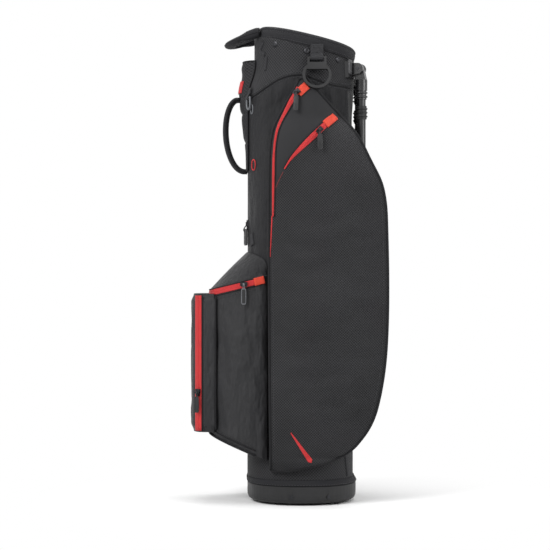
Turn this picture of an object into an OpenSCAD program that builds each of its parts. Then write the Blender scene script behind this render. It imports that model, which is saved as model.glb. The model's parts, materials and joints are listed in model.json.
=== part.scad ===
// Golf stand bag, standing upright with its legs folded.
// Millimetres. +Z is up, +X points to the legs and -Y to the near side pocket.
// The origin is on the ground under the middle of the base.

/* [Body tube] */
// Half width of the body tube, from the spine to the legs
body_half_x = 98; // [90:1:106]
// Half depth of the body tube, from side to side
body_half_y = 104; // [96:1:112]
// Thickness of the body wall
body_wall = 3; // [2:0.5:5]
// Height of the rim at the middle of the bag
rim_height = 849; // [820:1:880]
// Slope of the rim, down towards the legs
rim_tilt = 13.5; // [6:0.5:16]
// How far the neck draws in all round
neck_in = 7; // [3:0.5:10]
// Height over which the neck draws in
neck_run = 60; // [40:1:80]

/* [Collar] */
// Height of the collar
collar_h = 22; // [18:1:26]
// Thickness of the collar padding
collar_pad = 7; // [5:0.5:10]
// Wall of the moulded rim ring
rim_wall = 5; // [3:0.5:8]
// Width of the bars between the club compartments
divider_bar = 8; // [5:0.5:12]
// Thickness of the full-length dividers
divider_sheet = 2; // [1.5:0.5:4]
// Diameter of the stay rods
stay_d = 6; // [4:0.5:8]
// Diameter of the rivets below the collar
rivet_d = 11; // [8:0.5:14]

/* [Base] */
// Height of the moulded base
base_h = 40; // [34:1:50]
// Wall of the base
base_wall = 5; // [4:0.5:8]
// Floor of the base
base_floor = 5; // [4:0.5:7]
// Height of the feet
foot_h = 4; // [3:0.5:6]
// Width of the heel plate
heel_w = 94; // [80:1:104]
// Distance of the heel hinge from the middle of the base
heel_hinge_x = 30; // [20:1:40]

/* [Handles] */
// Reach of the lift handle from the collar
lift_reach = 52; // [44:1:60]
// Half span of the lift handle
lift_span = 45; // [38:1:52]
// Width of the lift handle
lift_w = 20; // [14:1:24]
// Thickness of the lift handle
lift_t = 18; // [12:1:19]
// Reach of the carry handle from the spine
carry_reach = 30; // [26:1:40]
// Half length of the carry handle
carry_half = 66; // [56:1:72]
// Width of the carry handle
carry_w = 32; // [26:1:40]
// Thickness of the carry handle
carry_t = 11; // [8:0.5:13]

/* [Pockets] */
// Distance of the side pocket's tip below the rim
side_drop = 79; // [76:1:90]
// Height of the side pocket's lower tip above the ground
side_low = 62; // [56:1:80]
// Reach of the side pocket's wing towards the legs
side_reach = 151; // [142:1:160]
// Start of the side pocket behind the middle
side_back = 59; // [54:1:60]
// Crown of the side pocket's outer panel
side_swell = 24; // [16:1:32]
// Depth of the side pocket's gusset where it is widest
side_edge = 30; // [24:1:36]
// Depth of the side pocket's gusset at its tips
side_tip = 5; // [4:0.5:8]
// Distance of the wing's inner face from the middle plane
wing_y = 80; // [77:1:88]
// Reach of the ball pocket behind the middle
ball_reach = 173; // [160:1:186]
// Front end of the ball pocket, behind the middle
ball_front = 63; // [62:1:70]
// Half depth of the ball pocket
ball_half_y = 103; // [98:1:110]
// Height of the ball pocket's lower edge at the spine
ball_low = 128; // [115:1:140]
// Height of the ball pocket's zip line at the spine
ball_zip_z = 386; // [370:1:400]
// Rise of the lid from the zip line to the body
lid_rise = 53; // [36:1:64]
// Thickness of the outer front pocket
front_t = 30; // [22:1:38]
// Half depth of the outer front pocket
front_half_y = 80; // [70:1:88]

/* [Zips] */
// Width of the zip tapes
tape_w = 9; // [7:0.5:11]
// Thickness of the zip tapes
tape_t = 1.2; // [0.8:0.1:2]
// Length of a zip pull
pull_l = 36; // [26:1:44]
// Width of a zip pull
pull_w = 9; // [7:0.5:11]

/* [Towel ring] */
// Outer diameter of the towel ring
towel_d = 52; // [44:1:60]
// Thickness of the towel ring
towel_t = 5; // [4:0.5:7]
// Distance of the towel ring's bar below the rim
towel_drop = 40; // [38:1:46]

/* [Stand] */
// Distance of the leg pivots below the rim
pivot_drop = 59; // [56:1:64]
// Half distance between the leg pivots
pivot_y = 42; // [38:1:46]
// Splay of the legs in plan
splay = 18; // [8:1:20]
// Diameter of the leg tubes
leg_d = 16; // [14:0.5:18]
// Length of a leg below its pivot
leg_l = 650; // [600:5:680]
// Diameter of the leg pins
leg_pin_d = 6; // [5:0.5:8]
// Distance of the push rod's stub below the leg pivot
stub_drop = 80; // [74:1:90]
// Diameter of the push rods
rod_d = 5; // [4:0.5:6]
// Distance of the push rods' lower pins inside the body's outer face
rod_inset = 15; // [14:0.5:18]

/* [Clearances] */
// Gap between soft pieces and what they lie on
seat_gap = 0.4; // [0.3:0.1:0.8]
// Gap between the side pockets and the body's curve
pocket_gap = 2; // [1.8:0.1:2.4]
// Radial running clearance of hinge pins
pin_gap = 0.05; // [0.02:0.01:0.1]
// Side clearance of hinge lugs
lug_gap = 0.4; // [0.3:0.1:0.8]

/* [Hidden] */
$fn = 48;
around = 64;
oval_power = 2.3;
fabric = "#2b2b2d";
soft_shell = "#333336";
red = "#c8322e";
plastic = "#19191b";
metal = "#8d9095";
rubber = "#202022";

// General curves and solids

function mix(a, b, t) = a + (b - a) * t;
function clamp01(t) = min(1, max(0, t));
function smooth(t) = let (u = clamp01(t)) u * u * (3 - 2 * u);
function unit(v) = v / norm(v);

// Slope of a smooth curve at its i-th point.
function slope(p, i) =
    let (a = max(i - 1, 0), b = min(i + 1, len(p) - 1))
    (p[b][1] - p[a][1]) / (p[b][0] - p[a][0]);

function hermite(p, i, t) =
    let (h = p[i + 1][0] - p[i][0], s = (t - p[i][0]) / h, s2 = s * s, s3 = s2 * s)
    (2 * s3 - 3 * s2 + 1) * p[i][1] + (s3 - 2 * s2 + s) * h * slope(p, i)
    + (3 * s2 - 2 * s3) * p[i + 1][1] + (s3 - s2) * h * slope(p, i + 1);

// Smooth curve through [position, value] points.
function curve(t, p, i = 0) =
    i >= len(p) - 2 || t <= p[i + 1][0] ? hermite(p, i, t) : curve(t, p, i + 1);

// Point of an oval with half widths a and b.
function oval(t, a, b, power = oval_power) =
    let (c = cos(t), s = sin(t))
    [a * sign(c) * pow(abs(c), 2 / power), b * sign(s) * pow(abs(s), 2 / power)];

// Closed oval ring, half a step off the axes.
function oval_ring(n, a, b, power = oval_power) =
    [for (i = [0 : n - 1]) oval((i + 0.5) * 360 / n, a, b, power)];

// Half width of an oval across its other axis.
function oval_side(y, a, b, power = oval_power) =
    a * pow(1 - pow(clamp01(abs(y) / b), power), 1 / power);

function ring_sides(n, low, high) = [
    for (i = [0 : n - 1])
        let (j = (i + 1) % n)
        each [[low + i, high + i, low + j], [low + j, high + i, high + j]]
];

// Solid through rings of equal count. A ring runs along one face and back along the other.
module loft(rings) {
    n = len(rings[0]);
    last = n * (len(rings) - 1);
    low_cap = [
        for (i = [0 : n / 2 - 2])
            each [[i, i + 1, n - 1 - i], [i + 1, n - 2 - i, n - 1 - i]]
    ];
    high_cap = [for (f = low_cap) [last + f[2], last + f[1], last + f[0]]];
    sides = [for (j = [0 : len(rings) - 2]) each ring_sides(n, j * n, j * n + n)];
    polyhedron([for (r = rings) each r], concat(sides, low_cap, high_cap));
}

// Hollow solid whose last ring joins its first.
module loft_loop(rings) {
    n = len(rings[0]);
    m = len(rings);
    sides = [for (j = [0 : m - 1]) each ring_sides(n, j * n, ((j + 1) % m) * n)];
    polyhedron([for (r = rings) each r], sides);
}

// Section carried along a path, kept upright by the up vector.
function swept(path, section, up) = [
    for (i = [0 : len(path) - 1])
        let (
            ahead = unit(path[min(i + 1, len(path) - 1)] - path[max(i - 1, 0)]),
            side = unit(cross(up, ahead)),
            top = cross(ahead, side)
        )
        [for (s = section) path[i] + s[0] * side + s[1] * top]
];

// Round bar between two points.
module bar(a, b, r) {
    d = b - a;
    translate(a)
        rotate([0, acos(d[2] / norm(d)), atan2(d[1], d[0])])
            cylinder(r = r, h = norm(d));
}

// Round pin along Y, centred.
module pin_y(r, l) {
    rotate([90, 0, 0]) cylinder(r = r, h = l, center = true);
}

// Flat outline in XZ, extruded along Y, centred.
module plate_y(t) {
    rotate([90, 0, 0]) linear_extrude(t, center = true) children();
}

// Body surface

body_shift = -2;
neck_shift = 6;
rim_slope = tan(rim_tilt);
neck_top = rim_height - (body_half_x + neck_shift) * rim_slope - collar_h / cos(rim_tilt) - 2;
neck_low = neck_top - neck_run;

function neck(z) = smooth((z - neck_low) / neck_run);
function centre_x(z) = body_shift + neck_shift * neck(z);
function half_x(z) = body_half_x - neck_in * neck(z);
function half_y(z) = body_half_y - neck_in * neck(z);
function rim_z(x) = rim_height - x * rim_slope;

// Depth of the body surface at x, and its reach to the spine and to the legs at y.
function body_y(x, z, gap = 0) = oval_side(x - centre_x(z), half_y(z) + gap, half_x(z) + gap);
function spine_x(y, z, gap = 0) = centre_x(z) - oval_side(y, half_x(z) + gap, half_y(z) + gap);
function leg_x(y, z, gap = 0) = centre_x(z) + oval_side(y, half_x(z) + gap, half_y(z) + gap);

// Channel in the body that lets the push rods run up inside its outline.
channel_half = 20;
channel_edge = 9;
function channel(y, z) =
    channel_depth * clamp01(1 - (z - body_bottom) / channel_run)
    * (1 - smooth((abs(y) - channel_half) / channel_edge));

function body_ring(z, inset) = [
    for (p = oval_ring(around, half_x(z) - inset, half_y(z) - inset))
        [centre_x(z) + p[0] - (p[0] > 0 ? channel(p[1], z) : 0), p[1], z]
];

// Ring of the neck in the sloping plane under the collar.
function neck_ring(inset) = [
    for (p = body_ring(neck_top, inset))
        [p[0], p[1], rim_z(p[0]) - (collar_h + seat_gap) / cos(rim_tilt)]
];

body_bottom = base_h + 0.2;

module body_shell() {
    heights = concat(
        [body_bottom, body_bottom + channel_run / 2, body_bottom + channel_run],
        [for (i = [0 : 8]) mix(neck_low, neck_top, i / 8)]
    );
    rows = len(heights);
    color(fabric)
        loft_loop(concat(
            [for (z = heights) body_ring(z, 0)],
            [neck_ring(0), neck_ring(body_wall)],
            [for (i = [1 : rows]) body_ring(heights[rows - i], body_wall)]
        ));
}

// Collar and dividers

rim_half_x = body_half_x - neck_in + 2;
rim_half_y = body_half_y - neck_in;
rim_shift = 11;
ring_half_x = rim_half_x - collar_pad - seat_gap;
ring_half_y = rim_half_y - collar_pad - seat_gap;
ring_top = 3;

// Frame in the sloping plane of the rim.
module on_rim() {
    translate([0, 0, rim_height]) rotate([0, rim_tilt, 0]) children();
}

function on_rim_point(p) = [
    p[0] * cos(rim_tilt) + p[2] * sin(rim_tilt),
    p[1],
    rim_height - p[0] * sin(rim_tilt) + p[2] * cos(rim_tilt)
];

module top_collar() {
    color(plastic)
        on_rim() translate([rim_shift, 0, -collar_h])
            linear_extrude(collar_h - ring_top) {
                difference() {
                    polygon(oval_ring(around, ring_half_x, ring_half_y));
                    polygon(oval_ring(around, ring_half_x - rim_wall, ring_half_y - rim_wall));
                }
                square([2 * (ring_half_x - rim_wall / 2), divider_bar], center = true);
                square([divider_bar, 2 * (ring_half_y - rim_wall / 2)], center = true);
            }
}

// Padding section as [outward from the ring, height above the collar's lower edge].
pad_section = [
    [0, 0],
    [collar_pad - 1.5, 0],
    [collar_pad, collar_h * 0.3],
    [collar_pad, collar_h * 0.65],
    [collar_pad * 0.75, collar_h * 0.92],
    [collar_pad * 0.35, collar_h],
    [0, collar_h * 0.96]
];

module collar_padding() {
    rings = [
        for (s = pad_section)
            [
                for (p = oval_ring(around, ring_half_x + seat_gap + s[0], ring_half_y + seat_gap + s[0]))
                    on_rim_point([rim_shift + p[0], p[1], s[1] - collar_h])
            ]
    ];
    color(fabric) loft_loop(rings);
}

divider_lift = 50;
divider_z = foot_h + base_floor + divider_lift;
divider_x = rim_shift * cos(rim_tilt) - collar_h * sin(rim_tilt);
divider_back = spine_x(0, neck_top, -body_wall - 2);
divider_front = leg_x(0, neck_top, -body_wall - 2);
function divider_top(x) = rim_z(x) - (collar_h + 0.5) / cos(rim_tilt);

module long_divider() {
    color(soft_shell)
        plate_y(divider_sheet)
            polygon([
                [divider_back, divider_z],
                [divider_front - channel_depth, divider_z],
                [divider_front, body_bottom + channel_run],
                [divider_front, divider_top(divider_front)],
                [divider_back, divider_top(divider_back)]
            ]);
}

module near_divider() {
    inner = divider_sheet / 2 + seat_gap;
    outer = body_y(divider_x, neck_top, -body_wall - 2);
    top = divider_top(divider_x + divider_sheet);
    color(soft_shell)
        translate([divider_x - divider_sheet / 2, -outer, divider_z])
            cube([divider_sheet, outer - inner, top - divider_z]);
}

module far_divider() {
    mirror([0, 1, 0]) near_divider();
}

stay_x = 48;
stay_y = body_y(stay_x, neck_top, -body_wall - stay_d / 2 - 2);

module stay_rods() {
    low = foot_h + base_floor + 0.3;
    color(metal)
        for (s = [-1, 1])
            translate([stay_x, s * stay_y, low])
                cylinder(d = stay_d, h = divider_top(stay_x + stay_d) - low);
}

rivet_xs = [-49, 8, 65];
rivet_drop = 31;
rivet_t = 2;

module collar_rivets() {
    color(metal)
        for (s = [-1, 1], x = rivet_xs) {
            z = rim_z(x) - rivet_drop;
            yaw = atan((body_y(x + 1, z) - body_y(x - 1, z)) / 2);
            translate([x, s * (body_y(x, z) + seat_gap), z])
                rotate([-90 * s, 0, s * yaw])
                    rotate_extrude()
                        polygon([
                            [0, 0], [rivet_d / 2, 0], [rivet_d / 2 - 0.6, rivet_t * 0.6],
                            [rivet_d / 4, rivet_t], [rivet_d / 4 - 0.8, rivet_t * 0.7],
                            [0, rivet_t * 0.7]
                        ]);
        }
}

// Handles and spine

// Straight length with which a handle leaves its seat.
handle_root = 2;
lift_drop = 12;
lift_fall = 18;

module lift_handle() {
    seat = on_rim_point([
        rim_shift - oval_side(lift_span - lift_w / 2, rim_half_x, rim_half_y), lift_span,
        -lift_drop - lift_t / 4
    ]);
    start = [seat[0] - seat_gap, lift_span, seat[2] + lift_t / 4];
    arc = [
        for (i = [0 : 24])
            let (t = i * 180 / 24)
            [
                start[0] - handle_root - (lift_reach - handle_root) * sin(t), lift_span * cos(t),
                start[2] - lift_fall * sin(t)
            ]
    ];
    path = concat([start], arc, [[start[0], -start[1], start[2]]]);
    color(fabric) loft(swept(path, oval_ring(12, lift_w / 2, lift_t / 2, 3), [0, 0, 1]));
}

pad_drop = 43;
pad_l = 200;
pad_half_y = 34;
pad_top = rim_height - pad_drop;
pad_low = pad_top - pad_l;
// Share of the pad's height against its thickness at the middle.
pad_swell = [[0, 1.5], [0.2, 3], [0.4, 7], [0.6, 12], [0.72, 15.5], [0.85, 18], [0.95, 22], [1, 20]];

function pad_x(y, z) =
    let (v = (z - pad_low) / (pad_top - pad_low))
    spine_x(y, z, seat_gap) - 2
    - (curve(v, pad_swell) - 1) * (1 - pow(abs(y) / pad_half_y, 3));

module spine_pad() {
    columns = [for (i = [0 : 8]) pad_half_y * (1 - i / 4)];
    rows = [for (i = [0 : 24]) mix(pad_low, pad_top, i / 24)];
    color(fabric)
        loft([
            for (z = rows)
                concat(
                    [for (y = columns) [pad_x(y, z), y, z]],
                    [for (i = [0 : 8]) let (y = columns[8 - i]) [spine_x(y, z, seat_gap), y, z]]
                )
        ]);
}

carry_drop = 178;
carry_z = rim_height - carry_drop;

module carry_handle() {
    steps = 20;
    high = [pad_x(0, carry_z + carry_half + carry_t / 2) - seat_gap, 0, carry_z + carry_half];
    low = [pad_x(0, carry_z - carry_half + carry_t / 2) - seat_gap, 0, carry_z - carry_half];
    arc = [
        for (i = [0 : steps])
            let (t = i * 180 / steps, seat = mix(high[0], low[0], i / steps))
            [
                seat - handle_root - (carry_reach - handle_root) * sin(t), 0,
                carry_z + carry_half * cos(t)
            ]
    ];
    path = concat([high], arc, [low]);
    color(fabric) loft(swept(path, oval_ring(12, carry_t / 2, carry_w / 2, 3), [0, 1, 0]));
}

// Side pockets

side_top = rim_height - side_drop;
side_tall = side_top - side_low;
// Share of the pocket's height against the reach of its wing, from back to front.
side_front_edge = [
    [0, -0.2], [0.03, 0.39], [0.085, 0.71], [0.165, 0.89], [0.33, 1], [0.63, 1],
    [0.72, 0.95], [0.79, 0.8], [0.858, 0.63], [0.93, 0.32], [1, 0.03]
];
// Share of the pocket's height against its edge behind the middle.
side_back_edge = [[0, 0.96], [0.3, 1], [0.76, 1], [0.857, 0.9], [0.92, 0.56], [0.97, 0.22], [1, 0.06]];

function side_share(z) = clamp01((z - side_low) / side_tall);
function side_x_front(z) = side_reach * curve(side_share(z), side_front_edge);
function side_x_back(z) = -side_back * curve(side_share(z), side_back_edge);
function side_inner_y(x, z) = max(body_y(x, z, pocket_gap), wing_y);

// Depth of the pocket's outer face.
function side_outer_y(x, z) =
    let (
        back = side_x_back(z),
        front = side_x_front(z),
        width = front - back,
        u = clamp01((x - back) / width),
        full = smooth(width / (side_reach + side_back)),
        gusset = mix(side_tip, side_edge, full),
        crown = side_swell * full * (1 - pow(abs(2 * u - 1), 2.4))
    )
    mix(side_inner_y(back, z), side_inner_y(front, z), u) + gusset + crown;

module side_pocket() {
    rows = [for (i = [0 : 34]) side_low + side_tall * (1 - cos(i * 180 / 34)) / 2];
    columns = 20;
    color(fabric)
        loft([
            for (z = rows)
                let (
                    back = side_x_back(z),
                    front = side_x_front(z),
                    xs = [for (i = [0 : columns]) mix(back, front, (1 - cos(i * 180 / columns)) / 2)]
                )
                concat(
                    [for (x = xs) [x, -side_outer_y(x, z), z]],
                    [for (i = [0 : columns]) let (x = xs[columns - i]) [x, -side_inner_y(x, z), z]]
                )
        ]);
}

module side_pocket_near() {
    side_pocket();
}

module side_pocket_far() {
    mirror([0, 1, 0]) side_pocket();
}

// Ball pocket and front pocket

ball_power = 3.2;
ball_front_low = 81;
ball_zip_rise = 27;
// Bulge of the pocket's wall between its edges.
ball_crown = 4;
ball_inner_half = body_y(-ball_front, ball_low, seat_gap);

function ball_share(x) = clamp01((-x - ball_front) / (ball_reach - ball_front));
function ball_low_z(x) = mix(ball_front_low, ball_low, ball_share(x));
function ball_high_z(x) = ball_zip_z + ball_zip_rise * (1 - ball_share(x));
function ball_swell(v) = ball_crown * (sin(180 * clamp01(v)) - 1);

// Outer face of the ball pocket as [x, y] at angle t and height share v.
function ball_outer(t, v) =
    let (
        grow = ball_swell(v),
        p = oval(t, ball_reach - ball_front + grow, ball_half_y + grow, ball_power)
    )
    [-ball_front - p[0], p[1]];
function ball_outer_x(y, v) =
    -ball_front - oval_side(y, ball_reach - ball_front + ball_swell(v),
        ball_half_y + ball_swell(v), ball_power);
function ball_outer_y(x, v) =
    oval_side(x + ball_front, ball_half_y + ball_swell(v),
        ball_reach - ball_front + ball_swell(v), ball_power);

module ball_pocket() {
    steps = 18;
    angles = [for (i = [0 : steps]) 90 - i * 180 / steps];
    shares = [0, 0.06, 0.2, 0.4, 0.6, 0.8, 0.94, 1];
    inner = [for (t = angles) [spine_x(ball_inner_half * sin(t), ball_low, seat_gap),
        ball_inner_half * sin(t)]];
    color(soft_shell)
        loft([
            for (v = shares)
                concat(
                    [
                        for (t = angles)
                            let (p = ball_outer(t, v))
                            [p[0], p[1], mix(ball_low_z(p[0]), ball_high_z(p[0]), v)]
                    ],
                    [
                        for (i = [0 : steps])
                            let (p = inner[steps - i], lift = lid_rise * pow(cos(angles[i]), 0.5))
                            [p[0], p[1], mix(ball_low_z(p[0]), ball_high_z(p[0]) + lift, v)]
                    ]
                )
        ]);
}

front_power = 4;
front_back = 160;
front_low = ball_low + 2;
front_high = ball_zip_z - 6;

function front_outer_y(x) = oval_side(x + front_back, front_half_y,
    ball_reach + front_t - front_back, front_power);

module front_pocket() {
    steps = 16;
    angles = [for (i = [0 : steps]) 90 - i * 180 / steps];
    shares = [0, 0.08, 0.3, 0.7, 0.92, 1];
    color(soft_shell)
        loft([
            for (v = shares)
                let (z = mix(front_low, front_high, v), round = v == 0 || v == 1 ? 5 : 0)
                concat(
                    [
                        for (t = angles)
                            let (p = oval(t, ball_reach + front_t - front_back - round,
                                front_half_y - round, front_power))
                            [-front_back - p[0], p[1], z]
                    ],
                    [
                        for (i = [0 : steps])
                            let (y = (front_half_y - round) * oval(angles[steps - i], 1, 1, front_power)[1])
                            [ball_outer_x(y, 0.5) - seat_gap, y, z]
                    ]
                )
        ]);
}

// Zips

// Gap under the tapes on the side and front pockets, and on the ball pocket's tighter curve.
tape_gap = 0.6;
ball_tape_gap = 0.6;

// Flat tape along [x, z] points of a face whose depth is given at each tape edge.
module side_tape(route) {
    n = len(route);
    color(red)
        loft([
            for (i = [0 : n - 1])
                let (
                    ahead = unit(route[min(i + 1, n - 1)] - route[max(i - 1, 0)]),
                    across = [-ahead[1], ahead[0]] * tape_w / 2,
                    a = route[i] + across,
                    b = route[i] - across,
                    ya = -side_outer_y(a[0], a[1]) - tape_gap,
                    yb = -side_outer_y(b[0], b[1]) - tape_gap
                )
                [
                    [a[0], ya, a[1]], [a[0], ya - tape_t, a[1]],
                    [b[0], yb - tape_t, b[1]], [b[0], yb, b[1]]
                ]
        ]);
}

upper_zip_run = 230;
upper_zip_drop = 22;
upper_zip_inset = 3;
upper_zip_route = [
    for (i = [0 : 16])
        let (z = side_top - upper_zip_drop - upper_zip_run * pow(i / 16, 1.6))
        [side_x_back(z) + tape_w / 2 + upper_zip_inset, z]
];

// Lower zip as [x, height below the pocket's tip].
lower_zip_points = [[-32, 168], [-22, 152], [-8, 136], [12, 116], [34, 95], [50, 79]];
lower_zip_route = [
    for (i = [0 : 12])
        let (x = mix(lower_zip_points[len(lower_zip_points) - 1][0], lower_zip_points[0][0], i / 12))
        [x, side_top - curve(x, lower_zip_points)]
];

module upper_zip_tape() {
    side_tape(upper_zip_route);
}

module lower_zip_tape() {
    side_tape(lower_zip_route);
}

module far_zip_tape() {
    mirror([0, 1, 0]) lower_zip_tape();
}

// Height share of the ball pocket's zip, and the hem above it.
ball_zip_v = 0.955;
ball_hem = 1;

module ball_zip_tape() {
    steps = 20;
    angles = [for (i = [0 : steps]) 78 - i * 156 / steps];
    color(red)
        loft([
            for (t = angles)
                let (
                    high = ball_outer(t, ball_zip_v + tape_w / 2 / (ball_zip_z - ball_low)),
                    low = ball_outer(t, ball_zip_v - tape_w / 2 / (ball_zip_z - ball_low)),
                    out = unit([high[0] + ball_front, high[1]]),
                    z = ball_high_z(high[0]) - ball_hem,
                    a = high + out * ball_tape_gap,
                    b = low + out * ball_tape_gap
                )
                [
                    [a[0], a[1], z], [b[0], b[1], z - tape_w],
                    [b[0] + out[0] * tape_t, b[1] + out[1] * tape_t, z - tape_w],
                    [a[0] + out[0] * tape_t, a[1] + out[1] * tape_t, z]
                ]
        ]);
}

front_zip_inset = 16;
front_zip_end = 8;
front_zip_x = front_zip_inset - ball_reach - front_t;
front_zip_low = front_low + front_zip_end;
front_zip_high = front_high - front_zip_end;

module front_zip_tape() {
    xs = [for (i = [-1 : 1]) front_zip_x + i * tape_w / 2];
    color(red)
        loft([
            for (z = [front_zip_low, front_zip_high])
                concat(
                    [for (x = xs) [x, -front_outer_y(x) - tape_gap - tape_t, z]],
                    [for (i = [0 : 2]) [xs[2 - i], -front_outer_y(xs[2 - i]) - tape_gap, z]]
                )
        ]);
}

// Zip slider on a face: local z points out of the face, local y up along it.
slider_w = 9;
slider_l = 13;
slider_t = 3.2;
slider_lift = 0.8;
pull_pin_d = 2;
pull_z = slider_lift + slider_t + 2;
pull_t = 2;

module zip_slider(turn) {
    color(metal) {
        rotate([0, 0, turn])
            translate([0, 0, slider_lift])
                linear_extrude(slider_t)
                    polygon([
                        [-slider_w / 2, slider_l / 2], [-slider_w / 2, 0],
                        [-slider_w / 3, -slider_l / 2], [slider_w / 3, -slider_l / 2],
                        [slider_w / 2, 0], [slider_w / 2, slider_l / 2]
                    ]);
        for (s = [-1, 1])
            translate([s * (pull_w / 4 + 1.4), 0, slider_lift + slider_t - 1])
                linear_extrude(pull_z - slider_lift - slider_t + 2)
                    square([1.6, 3], center = true);
        translate([0, 0, pull_z]) rotate([0, 90, 0])
            cylinder(d = pull_pin_d, h = pull_w / 2 + 3.6, center = true);
    }
}

module zip_pull(length = pull_l) {
    eye = pull_w / 2 - 0.8;
    color(plastic)
        translate([0, 0, pull_z])
            difference() {
                union() {
                    rotate([0, 90, 0]) cylinder(r = pull_t, h = eye, center = true);
                    translate([0, 0, -pull_t / 2])
                        linear_extrude(pull_t) {
                            translate([-eye / 2, -7]) square([eye, 7]);
                            polygon([
                                [-eye / 2, -6], [-pull_w / 2, -11], [-pull_w * 0.42, -length + 3],
                                [-pull_w * 0.25, -length], [pull_w * 0.25, -length],
                                [pull_w * 0.42, -length + 3], [pull_w / 2, -11], [eye / 2, -6]
                            ]);
                        }
                }
                rotate([0, 90, 0])
                    cylinder(r = pull_pin_d / 2 + pin_gap, h = pull_w, center = true);
            }
}

// Outward direction of the near side pocket at a route point, over the length of a pull.
function side_normal(p) =
    let (
        across = (side_outer_y(p[0] + 2, p[1]) - side_outer_y(p[0] - 2, p[1])) / 4,
        up = (side_outer_y(p[0], p[1]) - side_outer_y(p[0], p[1] - pull_l)) / pull_l
    )
    unit([-across, -1, -up]);
function side_face(p) = [p[0], -side_outer_y(p[0], p[1]) - tape_gap - tape_t, p[1]];

// Frame at a point of a face: local z points out of it and local x is level.
module on_face(at, out) {
    level = unit([-out[1], out[0], 0]);
    up = cross(out, level);
    multmatrix([
        [level[0], up[0], out[0], at[0]],
        [level[1], up[1], out[1], at[1]],
        [level[2], up[2], out[2], at[2]]
    ])
        children();
}

module on_side(p) {
    on_face(side_face(p), side_normal(p)) children();
}

upper_slider_at = upper_zip_route[2];
lower_slider_at = lower_zip_route[3];
upper_turn = -52;
lower_turn = -46;

module upper_zip_slider() {
    on_side(upper_slider_at) zip_slider(upper_turn);
}

module upper_zip_pull() {
    on_side(upper_slider_at) zip_pull();
}

module lower_zip_slider() {
    on_side(lower_slider_at) zip_slider(lower_turn);
}

module lower_zip_pull() {
    on_side(lower_slider_at) zip_pull();
}

module far_zip_slider() {
    mirror([0, 1, 0]) lower_zip_slider();
}

module far_zip_pull() {
    mirror([0, 1, 0]) lower_zip_pull();
}

ball_slider_x = -ball_front - 42;
ball_slider_at = [
    ball_slider_x,
    -ball_outer_y(ball_slider_x, ball_zip_v) - ball_tape_gap - tape_t,
    ball_high_z(ball_slider_x) - ball_hem - tape_w / 2
];

module on_ball() {
    on_face(ball_slider_at, [0, -1, 0]) children();
}

module ball_zip_slider() {
    on_ball() zip_slider(-90);
}

module ball_zip_pull() {
    on_ball() zip_pull();
}

front_slider_z = 202;

front_slider_at = [front_zip_x, -front_outer_y(front_zip_x) - tape_gap - tape_t, front_slider_z];
front_slider_out = unit([
    (front_outer_y(front_zip_x - tape_w / 2) - front_outer_y(front_zip_x + tape_w / 2)) / tape_w, -1, 0
]);

module on_front() {
    on_face(front_slider_at, front_slider_out) children();
}

module front_zip_slider() {
    on_front() zip_slider(0);
}

module front_zip_pull() {
    on_front() zip_pull();
}

// Towel ring and strap rings

towel_x = 26;
towel_bar_d = 5;
towel_web = 1.5;
towel_slot_w = 26;
towel_slot_h = 6;
towel_lean = 16;
towel_z = rim_z(towel_x) - towel_drop;
towel_loop_r = towel_bar_d / 2 + 0.5 + towel_web;
towel_y = -body_y(towel_x - towel_slot_w / 2, towel_z - towel_loop_r, seat_gap) - towel_loop_r;

module towel_strap() {
    tail = 24;
    color(fabric)
        translate([towel_x, towel_y, towel_z])
            rotate([90, 0, 90])
                linear_extrude(towel_slot_w - 2, center = true)
                    difference() {
                        union() {
                            circle(r = towel_loop_r);
                            translate([0, -0.5]) square([towel_loop_r, towel_loop_r + tail]);
                        }
                        circle(r = towel_bar_d / 2 + 0.5);
                    }
}

module towel_ring() {
    centre = towel_bar_d / 2 + towel_slot_h + 3 + towel_d / 2 - 5;
    lug_w = towel_slot_w + 8;
    color(plastic)
        translate([towel_x, towel_y, towel_z])
            rotate([-towel_lean, 0, 0]) {
                plate_y(towel_t)
                    difference() {
                        union() {
                            translate([0, -centre]) circle(d = towel_d);
                            translate([-lug_w / 2, -centre]) square([lug_w, centre]);
                        }
                        translate([-towel_slot_w / 2, -towel_bar_d / 2 - towel_slot_h])
                            square([towel_slot_w, towel_slot_h + towel_bar_d]);
                        intersection() {
                            translate([0, -centre]) circle(d = towel_d - 10);
                            translate([-towel_d / 2, -centre - towel_d])
                                square([towel_d, towel_d + towel_d * 0.2]);
                        }
                    }
                rotate([0, 90, 0]) cylinder(d = towel_bar_d, h = lug_w, center = true);
            }
}

// Strap ring hung on a webbing tab at depth y of the spine side.
strap_wire = 4;
strap_w = 18;
strap_web = 1.5;
strap_loop_r = strap_wire / 2 + 0.4 + strap_web;
upper_strap_y = -46;
upper_strap_drop = 112;
upper_strap_z = rim_height - upper_strap_drop;
lower_strap_y = -20;
lower_strap_rise = 31;
lower_strap_z = ball_zip_z + ball_zip_rise + lid_rise + lower_strap_rise;

// Frame with x out of the body surface.
module on_spine(y, z) {
    yaw = atan((spine_x(y + 1, z) - spine_x(y - 1, z)) / 2);
    translate([spine_x(y, z, seat_gap), y, z]) rotate([0, 0, 180 - yaw]) children();
}

module strap_tab() {
    tail = 14;
    color(fabric)
        rotate([90, 0, 0])
            linear_extrude(strap_w - 4, center = true)
                difference() {
                    union() {
                        translate([strap_loop_r, 0]) circle(r = strap_loop_r);
                        translate([0.6, 0]) square([strap_web + 0.6, strap_loop_r + tail]);
                    }
                    translate([strap_loop_r, 0]) circle(r = strap_wire / 2 + 0.4);
                }
}

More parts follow.
